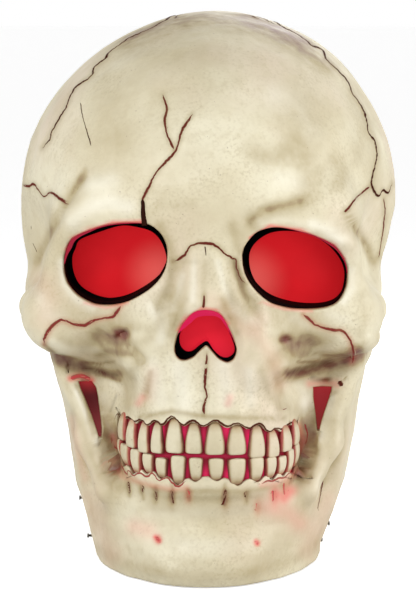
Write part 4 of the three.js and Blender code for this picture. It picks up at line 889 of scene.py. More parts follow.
def mouth_block():
    """Outline of the mouth between its gum lines, and its rim, which turns in over the teeth."""

    def outline(a, c, middle, half):
        turn = middle[0] + half[0] * a * (1 - 0.015 * np.abs(c) ** 3)
        angle = arch_angle(turn)
        low, high = np.interp(angle, *gum_low), np.interp(angle, *gum_high)
        return turn, low + (high - low) * (c + 1) / 2

    def rim(loop):
        middle = (MOUTH[0] + MOUTH[1]) / 2
        down = -np.sign(loop[:, 2] - middle) * smooth_step(np.abs(loop[:, 2] - middle) / 20)
        inward = np.stack([-loop[:, 0] * 0.6, ARCH_BACK - loop[:, 1], 0 * down], -1)
        inward /= np.linalg.norm(inward, axis=1, keepdims=True)
        tall = np.stack([0 * down, 0 * down, down], -1)
        bend = np.radians([30, 60, 90])
        made = [loop + 1.3 * (np.sin(v) * tall + (1 - np.cos(v)) * inward) for v in bend]
        return made + [made[-1] + 2.0 * inward]

    return outline, rim


def panel_block(x0, x1, z0, z1):
    """Outline of a rectangular opening in the back panel, and its straight rim."""

    def outline(a, c, middle, half):
        x = (x0 + x1) / 2 - a * (x1 - x0) / 2
        return np.degrees(np.arctan2(PANEL_BACK, x)), (z0 + z1) / 2 + c * (z1 - z0) / 2

    def rim(loop):
        return [loop - [0, 0.4, 0], loop - [0, WALL - 0.4, 0]]

    return outline, rim


def loop_numbers(number, b, stride=1):
    """Point numbers round an opening, anticlockwise seen from outside."""
    i0, i1 = (v // stride for v in b["i"])
    j0, j1 = (v // stride for v in b["j"])
    return np.r_[
        number[j0, i0:i1], number[j0:j1, i1], number[j1, i1:i0:-1], number[j1:j0:-1, i0]
    ]


def kept_cells(number, blocks, stride=1):
    """Quads of a grid, without the cells of its openings."""
    keep = np.ones((number.shape[0] - 1, number.shape[1] - 1), bool)
    for b in blocks:
        i0, i1 = (v // stride for v in b["i"])
        j0, j1 = (v // stride for v in b["j"])
        keep[j0:j1, i0:i1] = False
    quads = np.stack([number[:-1, :-1], number[:-1, 1:], number[1:, 1:], number[1:, :-1]], -1)
    return quads[keep]


def shell(turns, lines, blocks, seam, relief):
    """A closed half of the skull: an outer grid, a plain inner grid a wall's width in, and rims between.

    Returns the points, the faces, the outer grid's shape and how far each point lies into a rim,
    from 0 to 1.
    """
    turn, line = bent(turns, lines, blocks)
    outer = on_rays(turn, line)
    outer += outward(outer) * relief(outer)[..., None]
    inner = on_rays(turn[::4, ::4], line[::4, ::4], WALL)
    for grid in (outer, inner):
        grid[:, [0, -1], 1] = seam
        grid[0, :, 2] = SHELL_FOOT
    tops = [np.array([0, seam, grid[-1, :, 2].max()]) for grid in (outer, inner)]
    rows, columns = outer.shape[:2]
    a = np.arange(rows * columns).reshape(rows, columns)
    b = a.size + np.arange(inner.shape[0] * inner.shape[1]).reshape(inner.shape[:2])
    tip = b.max() + 1 + np.arange(2)
    points = [outer.reshape(-1, 3)]
    rim_points, rim_share, faces = [], [], [kept_cells(a, blocks)]
    inner_faces = kept_cells(b, blocks, 4)[:, ::-1]
    next_number = tip[1] + 1
    for opening in blocks:
        loop = loop_numbers(a, opening)
        made = opening["rim"](points[0][loop])
        chain = closed(loop)
        for step, ring in enumerate(made):
            numbers = next_number + np.arange(len(ring))
            next_number += len(ring)
            rim_points.append(ring)
            rim_share.append(np.full(len(ring), (step + 1) / len(made)))
            faces.append(band(chain, closed(numbers)))
            chain = closed(numbers)
        coarse = loop_numbers(b, opening, 4)
        back = made[-1][::4] - made[-2][::4]
        back /= np.linalg.norm(back, axis=1, keepdims=True)
        inner.reshape(-1, 3)[coarse - a.size] = made[-1][::4] + 0.8 * back
        faces.append(fan(chain, closed(coarse)))
    edge = [np.r_[a[0], a[1:, -1]], a[::-1, 0]]
    far_edge = [np.r_[b[0], b[1:, -1]], b[::-1, 0]]
    for fine, coarse in zip(edge, far_edge):
        faces.append(fan(fine, coarse)[:, ::-1])
    top = np.stack([a[-1, :-1], a[-1, 1:], np.full(columns - 1, tip[0])], -1)
    under = np.stack([b[-1, 1:], b[-1, :-1], np.full(b.shape[1] - 1, tip[1])], -1)
    ends = np.array([[a[-1, -1], b[-1, -1], tip[1], tip[0]], [tip[0], tip[1], b[-1, 0], a[-1, 0]]])
    everything = np.vstack([points[0], inner.reshape(-1, 3), tops, *rim_points])
    share = np.r_[np.zeros(tip[1] + 1), np.concatenate(rim_share)]
    quads = np.vstack([f for f in faces if f.shape[1] == 4] + [inner_faces, ends])
    triangles = np.vstack([f for f in faces if f.shape[1] == 3] + [top, under])
    return everything, [quads, triangles], a.shape, share


# Marks on the face, traced in the photograph
SUTURES = (
    ((183, 15), (166, 22), (149, 32), (131, 40), (121, 47), (111, 54), (106, 61), (96, 69), (92, 78),
     (80, 86), (74, 92), (71, 98), (64, 114), (62, 117), (56, 127), (52, 134), (50, 141), (43, 149)),
    ((240, 12), (255, 16), (272, 23), (283, 30), (291, 33), (296, 36), (312, 48), (321, 52), (325, 61),
     (330, 65), (338, 73), (347, 84), (351, 94), (360, 107), (365, 120), (367, 132), (374, 143),
     (376, 158), (372, 175), (371, 185), (377, 196), (382, 190), (387, 193), (391, 184)),
)
CRACKS = (
    ((163, 96), (167, 110), (165, 120), (167, 134), (174, 150)),
    ((193, 115), (183, 130), (180, 139), (177, 149), (174, 154), (162, 167), (154, 177), (150, 187),
     (147, 191), (143, 200), (143, 206)),
    ((23, 185), (29, 187), (35, 185), (44, 197), (51, 193), (61, 200), (67, 204)),
    ((174.3, 261.6), (184.5, 255.3), (190.9, 246.3), (201, 243.1), (212.4, 244.5), (219.3, 248.2),
     (226.2, 255), (235.8, 259.2), (237.9, 266.8), (241.3, 277.8), (245.5, 284)),
    ((369, 187), (361, 193), (353, 201), (345, 213)),
    ((383, 198), (384, 221), (380, 245), (378, 257)),
    ((207, 353), (206, 368), (205, 379), (205, 388), (207, 396), (204, 406), (204, 415)),
    ((204, 295), (204, 301), (203, 308)),
)
FINE_CRACKS = (
    ((81, 104), (84, 120), (92, 147)),
    ((205, 246), (206, 256)),
    ((31.5, 226), (31.5, 230)),
    ((33, 243), (34.7, 247.6), (36, 253)),
    ((67, 366), (68, 374)),
)
RED_CRACKS = (
    ((120.8, 306.3), (116, 313), (111.8, 317), (96.5, 319.7), (83.8, 325.4), (73.6, 324.8), (60.8, 320.3),
     (50.6, 328), (45.5, 336.9), (43.6, 343.9)),
    ((303.3, 314.3), (309, 319), (315.7, 324.6), (330.9, 329.4), (342.6, 330.8), (349.4, 338.4),
     (353.6, 350.8), (352.2, 363)),
)
ROOT_MARKS = (
    ((126.9, 483), (127.5, 490), (129, 495)), ((141, 487), (142, 495)), ((153.5, 493), (155.5, 503)),
    ((170.5, 492), (172, 499), (173.5, 506)), ((226, 491), (225, 499), (221.5, 507)),
    ((246, 493), (247, 500)), ((325, 482), (322, 500), (320, 512)), ((339, 381), (343, 386)),
)
RED_MARKS = (
    ((187, 492), (188, 501)), ((257, 505), (258, 513)), ((273, 492), (274, 503)),
    ((285, 484), (286.5, 496)), ((154.5, 539), (160, 544)), ((255, 543), (259, 547)),
    ((70, 379), (80, 376.5), (90, 380)),
)
UPPER_GUM = (
    (113, 421.5), (117.5, 414.5), (122, 420.5), (128, 417.5), (134, 422.5), (141, 420), (147, 425.5),
    (155, 421), (162, 425.5), (172, 416.5), (183, 425.5), (193, 420.5), (203, 426.5), (215, 420.5),
    (227, 426.5), (237, 423.5), (249, 428.5), (259, 423.5), (268, 431.5), (275, 428.5), (283, 429.5),
    (289, 423.5), (296, 423.5), (300, 417.5),
)
LOWER_GUM = (
    ((112, 457), (117, 467), (119, 463), (126, 476), (128, 472), (133, 477), (139, 474), (146, 478),
     (152, 475), (159, 482), (167, 479), (177, 488), (186, 482)),
    ((262, 485), (268, 482), (273, 482), (279, 479), (285, 479), (290, 474), (296, 474), (299, 467)),
    ((110, 438), (113, 447), (120, 451)),
    ((305, 424), (308, 436), (304, 450)),
)
EYE_CLEFT = ((142.6, 200), (143.6, 208), (144.2, 216), (144.6, 226))
# Ridges and grooves of the bone: line, half width in pixels and height in millimetres
RIDGES = (
    (((84, 176), (66, 204), (50, 234), (36, 262)), 5, -3.6),
    (((98, 186), (76, 214), (58, 244), (50, 276)), 9, 3.6),
    (((74, 222), (96, 214), (126, 210), (146, 214)), 7, 3.1),
    (((150, 226), (164, 240), (174, 258)), 5, -1.7),
    (((250, 222), (268, 210), (300, 202)), 7, -3.4),
    (((262, 222), (292, 221), (322, 228), (344, 242)), 7, 3.4),
    (((345, 214), (362, 238), (374, 262)), 5, -3.6),
    (((352, 246), (360, 270), (364, 296)), 8, 3.1),
    (((186, 262), (184, 284), (178, 306)), 4.5, -2.2),
    (((226, 264), (228, 284), (232, 304)), 4.0, -2.2),
    (((197, 256), (196, 280), (195, 304)), 5, 1.4),
    (((213, 256), (216, 280), (218, 304)), 5, 1.4),
    (((177, 266), (172, 288), (162, 312)), 5, -3.0),
    (((222, 262), (228, 282), (240, 306)), 4.5, 2.0),
    (((234, 264), (242, 290), (256, 314)), 5, -3.2),
    (((160, 290), (156, 312), (160, 336)), 6, 2.2),
    (((258, 300), (262, 320), (262, 340)), 6, 2.2),
    (((171, 326), (168, 344), (172, 360)), 3.5, 2.2),
    (((241, 330), (243, 348), (238, 362)), 3.5, 2.2),
    (((206.5, 349), (206.5, 362)), 2.2, 3.4),
    (((100, 338), (124, 346), (140, 362)), 8, -4.2),
    (((308, 342), (288, 350), (272, 366)), 8, -3.4),
    (((48, 336), (70, 350), (96, 356)), 7, 3.4),
    (((366, 338), (344, 352), (318, 358)), 7, 3.4),
    (((176, 366), (172, 396)), 6, 2.2),
    (((198, 366), (196, 400)), 4, 1.8),
    (((226, 368), (230, 400)), 5, 2.1),
    (((250, 368), (252, 402)), 5, 2.1),
    (((134, 372), (130, 400)), 5, -2.5),
    (((276, 378), (282, 404)), 5, -2.5),
    (((74, 388), (84, 412), (96, 444)), 2.6, 3.4),
    (((334, 396), (326, 420), (318, 446)), 3.0, 3.4),
    (((100, 444), (106, 468), (114, 492)), 3.0, -1.2),
    (((103, 452), (109, 464), (116, 478)), 5, 2.4),
    (((319, 432), (314, 460), (308, 482)), 2.4, -1.4),
    (((324, 480), (320, 510)), 2.4, -1.7),
    (((150, 512), (206, 520), (262, 514)), 8, -2.2),
    (((182, 548), (208, 553), (236, 549)), 16, 2.8),
)
# Soft strokes of painted shade with brown wash, such as the darker top and under the cheekbones: line, half
# width in pixels and strength
SHADE_AND_WASH_STROKES = (
    (((130, 42), (160, 26), (208, 18), (262, 26), (300, 44)), 15, 0.60),
    (((298, 150), (312, 170), (306, 192)), 13, 0.26),
    (((352, 96), (364, 130), (356, 160)), 9, 0.24),
    (((362, 296), (366, 316), (360, 332)), 7, 0.22),
    (((108, 84), (112, 112), (118, 136)), 22, 0.20),
    (((300, 84), (306, 112), (306, 136)), 24, 0.22),
    (((100, 520), (128, 548), (150, 566)), 14, 0.16),
    (((312, 500), (292, 540), (262, 566)), 16, 0.20),
    (((336, 400), (334, 440), (326, 480)), 8, 0.26),
    (((60, 340), (90, 352), (120, 356)), 5, 0.16),
    (((150, 60), (208, 52), (260, 58)), 12, 0.10),
    (((244, 18), (296, 42), (328, 68)), 10, 0.50),
    (((252, 150), (272, 158), (294, 160)), 12, 0.22),
    (((20, 180), (24, 150), (40, 114), (66, 80)), 6, 0.16),
    (((392, 180), (386, 140), (372, 112), (350, 80)), 5, 0.10),
    (((160, 226), (168, 242), (172, 256)), 6, 0.34),
    (((232, 226), (236, 240), (240, 252)), 6, 0.30),
    (((205, 262), (204, 282), (204, 300)), 3.5, 0.20),
    (((234, 262), (240, 284), (252, 306)), 4, 0.40),
    (((222, 300), (230, 316), (236, 332)), 4, 0.30),
    (((186, 300), (176, 316), (170, 334)), 4, 0.26),
    (((250, 222), (262, 211), (282, 206), (300, 201)), 4.5, 0.50),
    (((98, 326), (120, 326), (146, 330)), 6, 0.20),
    (((118.5, 333.5), (120.5, 334.5), (124, 337)), 3.2, 0.95),
    (((287.5, 337), (285.5, 338.5), (281, 340)), 2.4, 0.75),
    (((44, 346), (58, 357), (80, 366), (102, 374), (119, 381)), 2.4, 0.7),
    (((360, 350), (344, 362), (322, 368), (296, 374)), 2.4, 0.7),
    (((62, 356), (82, 362), (100, 364), (114, 362)), 1.6, 0.6),
    (((346, 354), (326, 360), (310, 362), (298, 362)), 1.6, 0.6),
    (((130, 372), (126, 392), (128, 410)), 5, 0.26),
    (((276, 380), (284, 396), (290, 412)), 5, 0.26),
    (((66, 384), (74, 412), (86, 444), (100, 480)), 3, 0.16),
    (((80, 386), (86, 404), (94, 434)), 1.8, 0.55),
    (((318, 440), (314, 458), (309, 474)), 1.4, 0.30),
    (((128, 486), (129, 498)), 2.0, 0.36),
    (((141, 489), (143, 501)), 1.8, 0.36),
    (((188, 491), (189, 502)), 2.0, 0.40),
    (((247, 494), (247, 504)), 1.8, 0.34),
    (((172, 486), (173, 504)), 2.2, 0.40),
    (((156, 488), (156, 504)), 2.0, 0.30),
    (((225, 486), (224, 506)), 2.2, 0.40),
    (((66, 206), (78, 184), (86, 170)), 3, 0.30),
    (((348, 218), (356, 232), (366, 246)), 2.6, 0.34),
    (((150, 190), (160, 196), (170, 190)), 8, 0.10),
    (((333, 158), (342, 172), (338, 184)), 8, 0.30),
    (((290, 140), (276, 158), (258, 160)), 9, 0.14),
    (((84, 176), (66, 204), (50, 234), (36, 262)), 4, 0.26),
    (((345, 212), (362, 238), (374, 262)), 4, 0.26),
    (((240, 290), (250, 310), (266, 324)), 4, 0.24),
    (((176, 268), (186, 262), (196, 262)), 3, 0.2),
    (((50, 358), (80, 368), (104, 373), (120, 374)), 6, 0.66),
    (((96, 356), (112, 352), (128, 354)), 4, 0.45),
    (((358, 352), (330, 364), (302, 372), (288, 374)), 8, 0.85),
    (((300, 356), (316, 353), (332, 356)), 4, 0.50),
    (((172, 262), (168, 284), (158, 306)), 5, 0.34),
    (((24, 200), (30, 236), (33, 262)), 8, 0.16),
    (((388, 236), (380, 262)), 4, 0.16),
    (((150, 374), (146, 396), (142, 410)), 4, 0.34),
    (((262, 372), (270, 396), (280, 410)), 4, 0.26),
    (((336, 392), (322, 440), (312, 480)), 3, 0.14),
    (((140, 418), (172, 412), (204, 417), (240, 418), (284, 419)), 3, 0.42),
    (((116, 468), (140, 486), (170, 493), (206, 492), (244, 493), (284, 486), (300, 474)), 3.5, 0.40),
    (((90, 548), (120, 566), (170, 578), (208, 580), (250, 576), (300, 560), (318, 544)), 7, 0.26),
    (((146, 212), (166, 204), (190, 206)), 6, 0.16),
    (((160, 320), (150, 338), (140, 344)), 6, 0.22),
)
# Spots of dark ink and of painted shadow, such as under the cheekbones and in the small holes: line, half
# width in pixels and strength
INK_AND_SHADOW_SPOTS = (
    (((156, 540.5), (159, 543.5)), 1.2, 0.45),
    (((257, 545), (258, 546)), 1.0, 0.35),
    (((116, 336), (120, 334), (124, 332)), 2.8, 0.62),
    (((283, 339), (286, 338), (290, 339)), 2.4, 0.60),
    (((84, 368), (104, 373), (116, 376)), 2.6, 0.40),
    (((288, 373), (306, 367), (330, 362)), 3.0, 0.42),
    (((312, 378), (324, 380), (330, 379)), 2.2, 0.50),
    (((66, 372), (67.5, 365)), 1.2, 0.6),
    (((82, 381), (90, 386), (96, 398)), 2.4, 0.40),
    (((116, 396), (110, 412)), 1.4, 0.25),
)
# Soft strokes of painted highlight, where light falls on the bone and over shaded recesses: line, half
# width in pixels, strength
PAINTED_HIGHLIGHTS = (
    (((102, 400), (104, 425), (106, 448)), 6, 0.80),
    (((104, 448), (108, 462), (114, 478)), 6, 0.80),
    (((306, 404), (307, 426), (306, 448)), 6, 0.75),
    (((306, 448), (304, 462), (298, 478)), 5, 0.40),
    (((286, 348), (310, 352), (330, 350)), 6, 0.30),
    (((296, 384), (306, 392), (312, 408)), 5, 0.25),
    (((92, 372), (110, 380), (122, 392)), 5, 0.30),
    (((72, 222), (88, 208), (108, 202), (128, 208)), 9, 0.50),
    (((62, 262), (64, 284), (76, 300), (92, 309)), 4, 0.55),
    (((40, 296), (48, 316), (60, 318)), 7, 0.35),
    (((194, 262), (193, 284), (192, 300)), 3.5, 0.40),
    (((182, 276), (178, 294), (170, 310)), 3.5, 0.45),
    (((218, 262), (223, 284), (230, 304)), 3.5, 0.45),
    (((150, 308), (162, 322), (160, 340)), 6, 0.45),
    (((150, 364), (156, 380), (160, 404)), 8, 0.35),
    (((178, 366), (182, 384), (184, 404)), 9, 0.45),
    (((222, 366), (226, 384), (226, 404)), 9, 0.35),
    (((250, 372), (250, 404)), 6, 0.35),
    (((312, 224), (326, 230), (340, 240)), 6, 0.60),
    (((262, 224), (280, 220), (300, 224)), 4, 0.25),
    (((236, 312), (248, 318), (262, 320)), 5, 0.45),
    (((294, 318), (306, 324)), 5, 0.40),
    (((352, 270), (352, 288), (343, 302)), 4, 0.60),
    (((328, 314), (342, 318)), 6, 0.30),
    (((92, 186), (112, 180)), 9, 0.40),
    (((276, 96), (300, 104), (312, 132)), 12, 0.35),
    (((280, 178), (300, 184)), 10, 0.28),
    (((76, 392), (86, 416), (96, 442)), 2.6, 0.70),
    (((333, 398), (328, 416), (321, 440)), 2.6, 0.70),
    (((150, 514), (206, 516), (250, 514)), 6, 0.25),
    (((182, 546), (208, 548), (232, 546)), 10, 0.25),
    (((96, 352), (70, 350), (52, 342)), 4, 0.28),
)
# Red light that shines through round the openings: line, half width in pixels and strength
GLOWS = (
    (((66, 250), (73, 238), (90, 230), (113, 223), (144, 222)), 1.5, 0.75),
    (((250, 238), (270, 226), (300, 230), (334, 245), (344, 259)), 1.6, 0.70),
    (((84, 303), (106, 308), (128, 303)), 1.6, 0.35),
    (((262, 302), (284, 309), (312, 311)), 1.6, 0.35),
    (((178, 330), (186, 318), (202, 308), (216, 310), (228, 324)), 1.6, 0.55),
    (((70, 379), (80, 377), (91, 381)), 3.2, 0.75),
    (((310, 384), (324, 383), (338, 384)), 4, 0.34),
    (((111, 462), (122, 478), (140, 484), (152, 487), (172, 491), (186, 489)), 3, 0.22),
    (((262, 486), (276, 484), (290, 478), (299, 470)), 3, 0.28),
    (((112, 437), (116, 447), (124, 452)), 3, 0.25),
    (((298, 426), (304, 440), (300, 452)), 4, 0.35),
    (((276, 494), (284, 500), (292, 492)), 6, 0.50),
    (((103, 462), (106, 469), (109, 474)), 1.8, 0.30),
    (((71, 420), (76, 450), (84, 480)), 5, 0.12),
    (((268, 508), (290, 515), (300, 525)), 10, 0.22),
    (((154.5, 539), (159, 543.5)), 2.2, 0.80),
    (((256, 543), (258, 546)), 2.0, 0.65),
    (((134, 529), (148, 533)), 9, 0.20),
    (((258, 334), (272, 356), (280, 384)), 9, 0.10),
    (((152, 374), (148, 396)), 8, 0.09),
    (((138, 404), (142, 398)), 4, 0.30),
    (((228, 404), (230, 398)), 4, 0.26),
    (((212, 300), (245, 330), (262, 318)), 9, 0.07),
    (((40, 280), (48, 300), (44, 320)), 12, 0.08),
    (((86, 500), (96, 530), (110, 556)), 12, 0.09),
    (((330, 500), (318, 530), (306, 552)), 10, 0.08),
)
# Small pits: pixel, half width and depth in millimetres, strength of painted shade and of painted red glow
PITS = (
    ((120.5, 334.5), (6.5, 4.2), 5.0, 0.9, 0.14), ((285.5, 338.5), (5, 3.8), 4.0, 0.9, 0.14),
    ((157.5, 541.5), (3.2, 3.8), 2.4, 0.1, 0.85), ((257.5, 545), (2.8, 2.6), 2.0, 0.1, 0.7),
    ((128, 489), (3.5, 7), 1.6, 0.35, 0.0), ((141.5, 491), (3.2, 6.5), 1.6, 0.4, 0.0),
    ((155, 498), (3.4, 8), 1.6, 0.4, 0.0), ((171.5, 499), (3.6, 9), 1.8, 0.45, 0.05),
    ((188, 497), (3.6, 7), 1.8, 0.3, 0.3), ((225.5, 501), (3.6, 10), 1.8, 0.45, 0.1),
    ((246.5, 497), (3.4, 6), 1.4, 0.35, 0.05), ((258, 509), (3.2, 7), 1.4, 0.2, 0.25),
    ((275, 500), (4, 9), 1.6, 0.15, 0.35), ((286.5, 492), (4, 9), 1.6, 0.15, 0.35),
    ((67.5, 367.5), (1.4, 3), 1.0, 0.8, 0.0), ((345.5, 378.5), (1.6, 1.6), 0.8, 0.7, 0.0),
    ((326, 380), (3.2, 2), 1.2, 0.8, 0.1), ((315.5, 396), (1.4, 4), 1.2, 0.7, 0.3),
)
ROOT_TALL = 40  # pixels over which the roots of the upper teeth show in the bone


def nearness(pixels, line, wide):
    """How near pixels lie to a line: 1 on it and fading over a width."""
    a, b = np.asarray(line[:-1], float), np.asarray(line[1:], float)
    best = np.full(len(pixels), 1e9)
    for start, end in zip(a, b):
        along = end - start
        h = np.clip(((pixels - start) @ along) / (along @ along), 0, 1)
        off = pixels - start - h[:, None] * along
        best = np.minimum(best, (off**2).sum(1))
    return np.exp(-best / wide**2)


def pit_at(pixels, pit):
    """How far inside a small oval pit pixels lie: 1 in its middle."""
    off = (pixels - pit[0]) / pit[1]
    return np.exp(-(off**2).sum(1) * 0.9)


def waves(points, length, seed):
    """A smooth unevenness between -1 and 1: a sum of waves in seeded directions."""
    rng = np.random.default_rng(seed)
    total = np.zeros(len(points))
    for _ in range(9):
        way = rng.normal(size=3)
        way *= 2 * np.pi / (length * rng.uniform(0.7, 1.5) * np.linalg.norm(way))
        total += np.sin(points @ way + rng.uniform(0, 2 * np.pi))
    return total / 4.5


def face_relief(grid):
    """Height of the face's small forms: uneven hand-shaped bone, ridges, grooves, tooth roots and pits."""
    points = grid.reshape(-1, 3)
    pixels = pixel_of(points)
    front = smooth_step(-points[:, 1] / 60)
    height = 0.5 * waves(points, 46, 3) + 0.25 * waves(points, 19, 5)
    for line, wide, rise in RIDGES:
        height += front * rise * nearness(pixels, line, wide)
    for left, right, neck, _ in UPPER_TEETH[1:-1]:
        half = (right - left) / 2
        off = (pixels - [(left + right) / 2, neck - ROOT_TALL * 0.42]) / [half * 0.6, ROOT_TALL * 0.5]
        height += front * 1.7 * np.exp(-(off**2).sum(1))
    for pit in PITS:
        height -= front * pit[2] * pit_at(pixels, pit)
    return height.reshape(grid.shape[:2])


def rear_relief(grid):
    """Height of the back's unevenness, which fades out on the flat panel and at the seam."""
    points = grid.reshape(-1, 3)
    up = smooth_step((points[:, 2] - 180) / 80) * smooth_step(points[:, 1] / 40)
    return (up * (0.5 * waves(points, 52, 3) + 0.25 * waves(points, 21, 5))).reshape(grid.shape[:2])


def softened(values, shape, times):
    """Values of the points, averaged with their neighbours where the points are the outer grid."""
    values = values.copy()
    grid = values[: shape[0] * shape[1]].reshape(shape)
    for _ in range(times):
        grid[1:-1] = (grid[:-2] + 2 * grid[1:-1] + grid[2:]) / 4
        grid[:, 1:-1] = (grid[:, :-2] + 2 * grid[:, 1:-1] + grid[:, 2:]) / 4
    return values


def hollows(points):
    """How hollow the surface is: how much nearer the surface stays when one moves out from it."""
    normal = outward(points)
    total = np.zeros(len(points))
    for far, share in ((7, 0.45), (16, 0.35), (34, 0.3)):
        x, y, z = (points + normal * far).T
        total += share * (far - skull(x, y, z)) / far
    return np.clip(total, 0, 1)


def face_paint(points, shape, rim):
    """Painted shade with brown wash, painted red glow, painted highlights, and ink with painted shadow
    spots, for the points of the face.
    """
    pixels = pixel_of(points)
    front = smooth_step(-points[:, 1] / 30)
    # Painted shade: darker in the hollows, with a little uneven tone, and darker on the rims of the
    # openings
    wash = softened(0.8 * smooth_step((hollows(points) - 0.08) / 0.6), shape, 6)
    wash = 1 - (1 - wash) * (1 - 0.12 * smooth_step((waves(points, 90, 8) + 0.2) / 1.2))
    wash = 1 - (1 - wash) * (1 - 0.5 * rim)
    glow = np.zeros(len(points))
    for line, wide, strength in SHADE_AND_WASH_STROKES:
        wash = 1 - (1 - wash) * (1 - front * strength * nearness(pixels, line, wide))
    # Brown painted shade along the cracks and sutures
    for line in (*SUTURES, *CRACKS, *RED_CRACKS, EYE_CLEFT):
        wash = 1 - (1 - wash) * (1 - 0.34 * nearness(pixels, line, 3.0))
    for line in RED_CRACKS:
        glow = 1 - (1 - glow) * (1 - front * 0.20 * nearness(pixels, line, 3.0))
    ink = np.zeros(len(points))
    for line, wide, strength in INK_AND_SHADOW_SPOTS:
        ink = 1 - (1 - ink) * (1 - front * strength * nearness(pixels, line, wide))
    pale = np.zeros(len(points))
    for line, wide, strength in PAINTED_HIGHLIGHTS:
        pale = 1 - (1 - pale) * (1 - front * strength * nearness(pixels, line, wide))
    for line, wide, strength in GLOWS:
        glow = 1 - (1 - glow) * (1 - front * strength * nearness(pixels, line, wide))
    for pit in PITS:
        near = pit_at(pixels, pit)
        wash = 1 - (1 - wash) * (1 - front * pit[3] * near)
        glow = 1 - (1 - glow) * (1 - front * pit[4] * near)
    return {"wash": wash, "glow": glow, "pale": pale, "ink": ink}


eye_shapes = [star(rim, heart) for rim, heart in zip(EYE_RIMS, EYE_HEARTS)]
nose_shape = star(NOSE_RIM, NOSE_HEART)
slot_edges = [wedge(rows) for rows in SLOTS]

face_turns, face_lines = mirrored(FACE_TURNS), steps(*FACE_LINES)
EYE_SPAN = (-138, -102)
SLOT_SPAN = (-143, -133)


def both(span):
    """A span of the left side and its mirror image on the right."""
    return span, (-180 - span[1], -180 - span[0])


face_blocks = [block(face_turns, face_lines, (-125, -55), (113, 173), (3, 3, 20, 16), *mouth_block())]
face_blocks.append(
    block(face_turns, face_lines, (-98, -82), (236, 290), (4, 4, 20, 14), *star_block(nose_shape))
)
for span, shape, margins in zip(both(EYE_SPAN), eye_shapes, ((12, 4, 24, 34), (4, 12, 24, 34))):
    face_blocks.append(block(face_turns, face_lines, span, (290, 376), margins, *star_block(shape)))
for span, edges, margins in zip(both(SLOT_SPAN), slot_edges, ((16, 5, 26, 30), (5, 16, 26, 30))):
    face_blocks.append(block(face_turns, face_lines, span, (145, 218), margins, *wedge_block(edges)))

face_points, face_faces, face_shape, face_rim = shell(
    face_turns, face_lines, face_blocks, -SEAM, face_relief
)
face_marks = face_paint(face_points, face_shape, face_rim)
piece(
    "face", face_points, face_faces, bone, replaced=["face_shell"], slot="bone_plastic",
    **face_marks,
)

rear_turns, rear_lines = steps(*REAR_TURNS), steps(*REAR_LINES)
rear_blocks = [
    block(
        rear_turns, rear_lines, (turn_of(DOORWAY[0]), turn_of(-DOORWAY[0])), DOORWAY[1:], (5, 5, 10, 10),
        *panel_block(-DOORWAY[0], DOORWAY[0], *DOORWAY[1:]),
    ),
    block(
        rear_turns, rear_lines, (turn_of(SWITCH_GAP[1]), turn_of(SWITCH_GAP[0])), SWITCH_GAP[2:],
        (5, 5, 8, 8), *panel_block(*SWITCH_GAP),
    ),
]
rear_points, rear_faces, rear_shape, _ = shell(rear_turns, rear_lines, rear_blocks, SEAM, rear_relief)
# Painted shade in the hollows of the back
rear_shade = softened(0.7 * smooth_step((hollows(rear_points) - 0.12) / 0.6), rear_shape, 6)
piece(
    "back_of_head", rear_points, rear_faces, bone, replaced=["rear_shell"], slot="bone_plastic",
    wash=rear_shade, glow=0.0, ink=0.0,
)


# Cracks: narrow furrows with raised lips, laid along the surface
FURROW = (
    (-2.0, -0.5), (-1.35, 0.26), (-0.75, 0.10), (0.0, 0.02),
    (0.75, 0.10), (1.35, 0.26), (2.0, -0.5), (0.0, -1.4),
)
FURROW_INK = (0.0, 0.15, 0.95, 1.0, 0.95, 0.15, 0.0, 1.0)
# Painted shade and wash across a furrow: darkest in its groove
FURROW_SHADE_AND_WASH = (0.45, 0.85, 1.0, 1.0, 1.0, 0.85, 0.45, 1.0)
FACE_HEART = (208, 230)  # cracks at the outline are drawn in towards this pixel until they lie on the skull


def furrow(pixels, wide, seed, red, lift, growth):
    """Points, faces and ink of one crack: the furrow's section carried along a shaky line on the surface.

    Its width grows by a factor towards its end.
    """
    rng = np.random.default_rng(seed)
    line = smooth_line(pixels, 1.4)
    shake = rng.normal(size=line.shape)
    line[1:-1] += min(0.24, 0.004 * len(line)) * (shake[1:-1] + shake[:-2]) / 1.4
    points = seen_at(line)
    for _ in range(12):
        missed = np.abs(skull(*points.T)) > 1
        if not missed.any():
            break
        line[missed] += 0.01 * (np.array(FACE_HEART) - line[missed])
        points = seen_at(line)
    normal = outward(points)
    points = points + normal * (face_relief(points[None])[0] + lift)[:, None]
    along = np.gradient(points, axis=0)
    side = np.cross(along, normal)
    side /= np.linalg.norm(side, axis=1, keepdims=True) + 1e-9
    share = np.linspace(0, 1, len(points))
    taper = smooth_step(np.minimum(share, 1 - share) * 14 + 0.12)
    uneven = 0.3 * np.sin(share * len(points) * 0.23 + seed) + 0.05 * rng.normal(size=len(points))
    if growth > 1:
        taper, uneven = smooth_step(share * 10 + 0.2), 0
    width = wide * taper * (1 + uneven) * (1 + (growth - 1) * share)
    across, up = np.array(FURROW).T
    section = (
        points[:, None]
        + side[:, None] * (width[:, None] * across)[..., None]
        + normal[:, None] * (up * (0.4 + 0.6 * taper[:, None]))[..., None]
    )
    count, size = section.shape[:2]
    quads = rings(section)
    fans = [np.arange(size)[::-1], (count - 1) * size + np.arange(size)]
    ink = np.broadcast_to(FURROW_INK, (count, size)).ravel()
    glow = np.broadcast_to(np.array(FURROW_INK) * red, (count, size)).ravel()
    return section.reshape(-1, 3), quads, fans, ink, glow


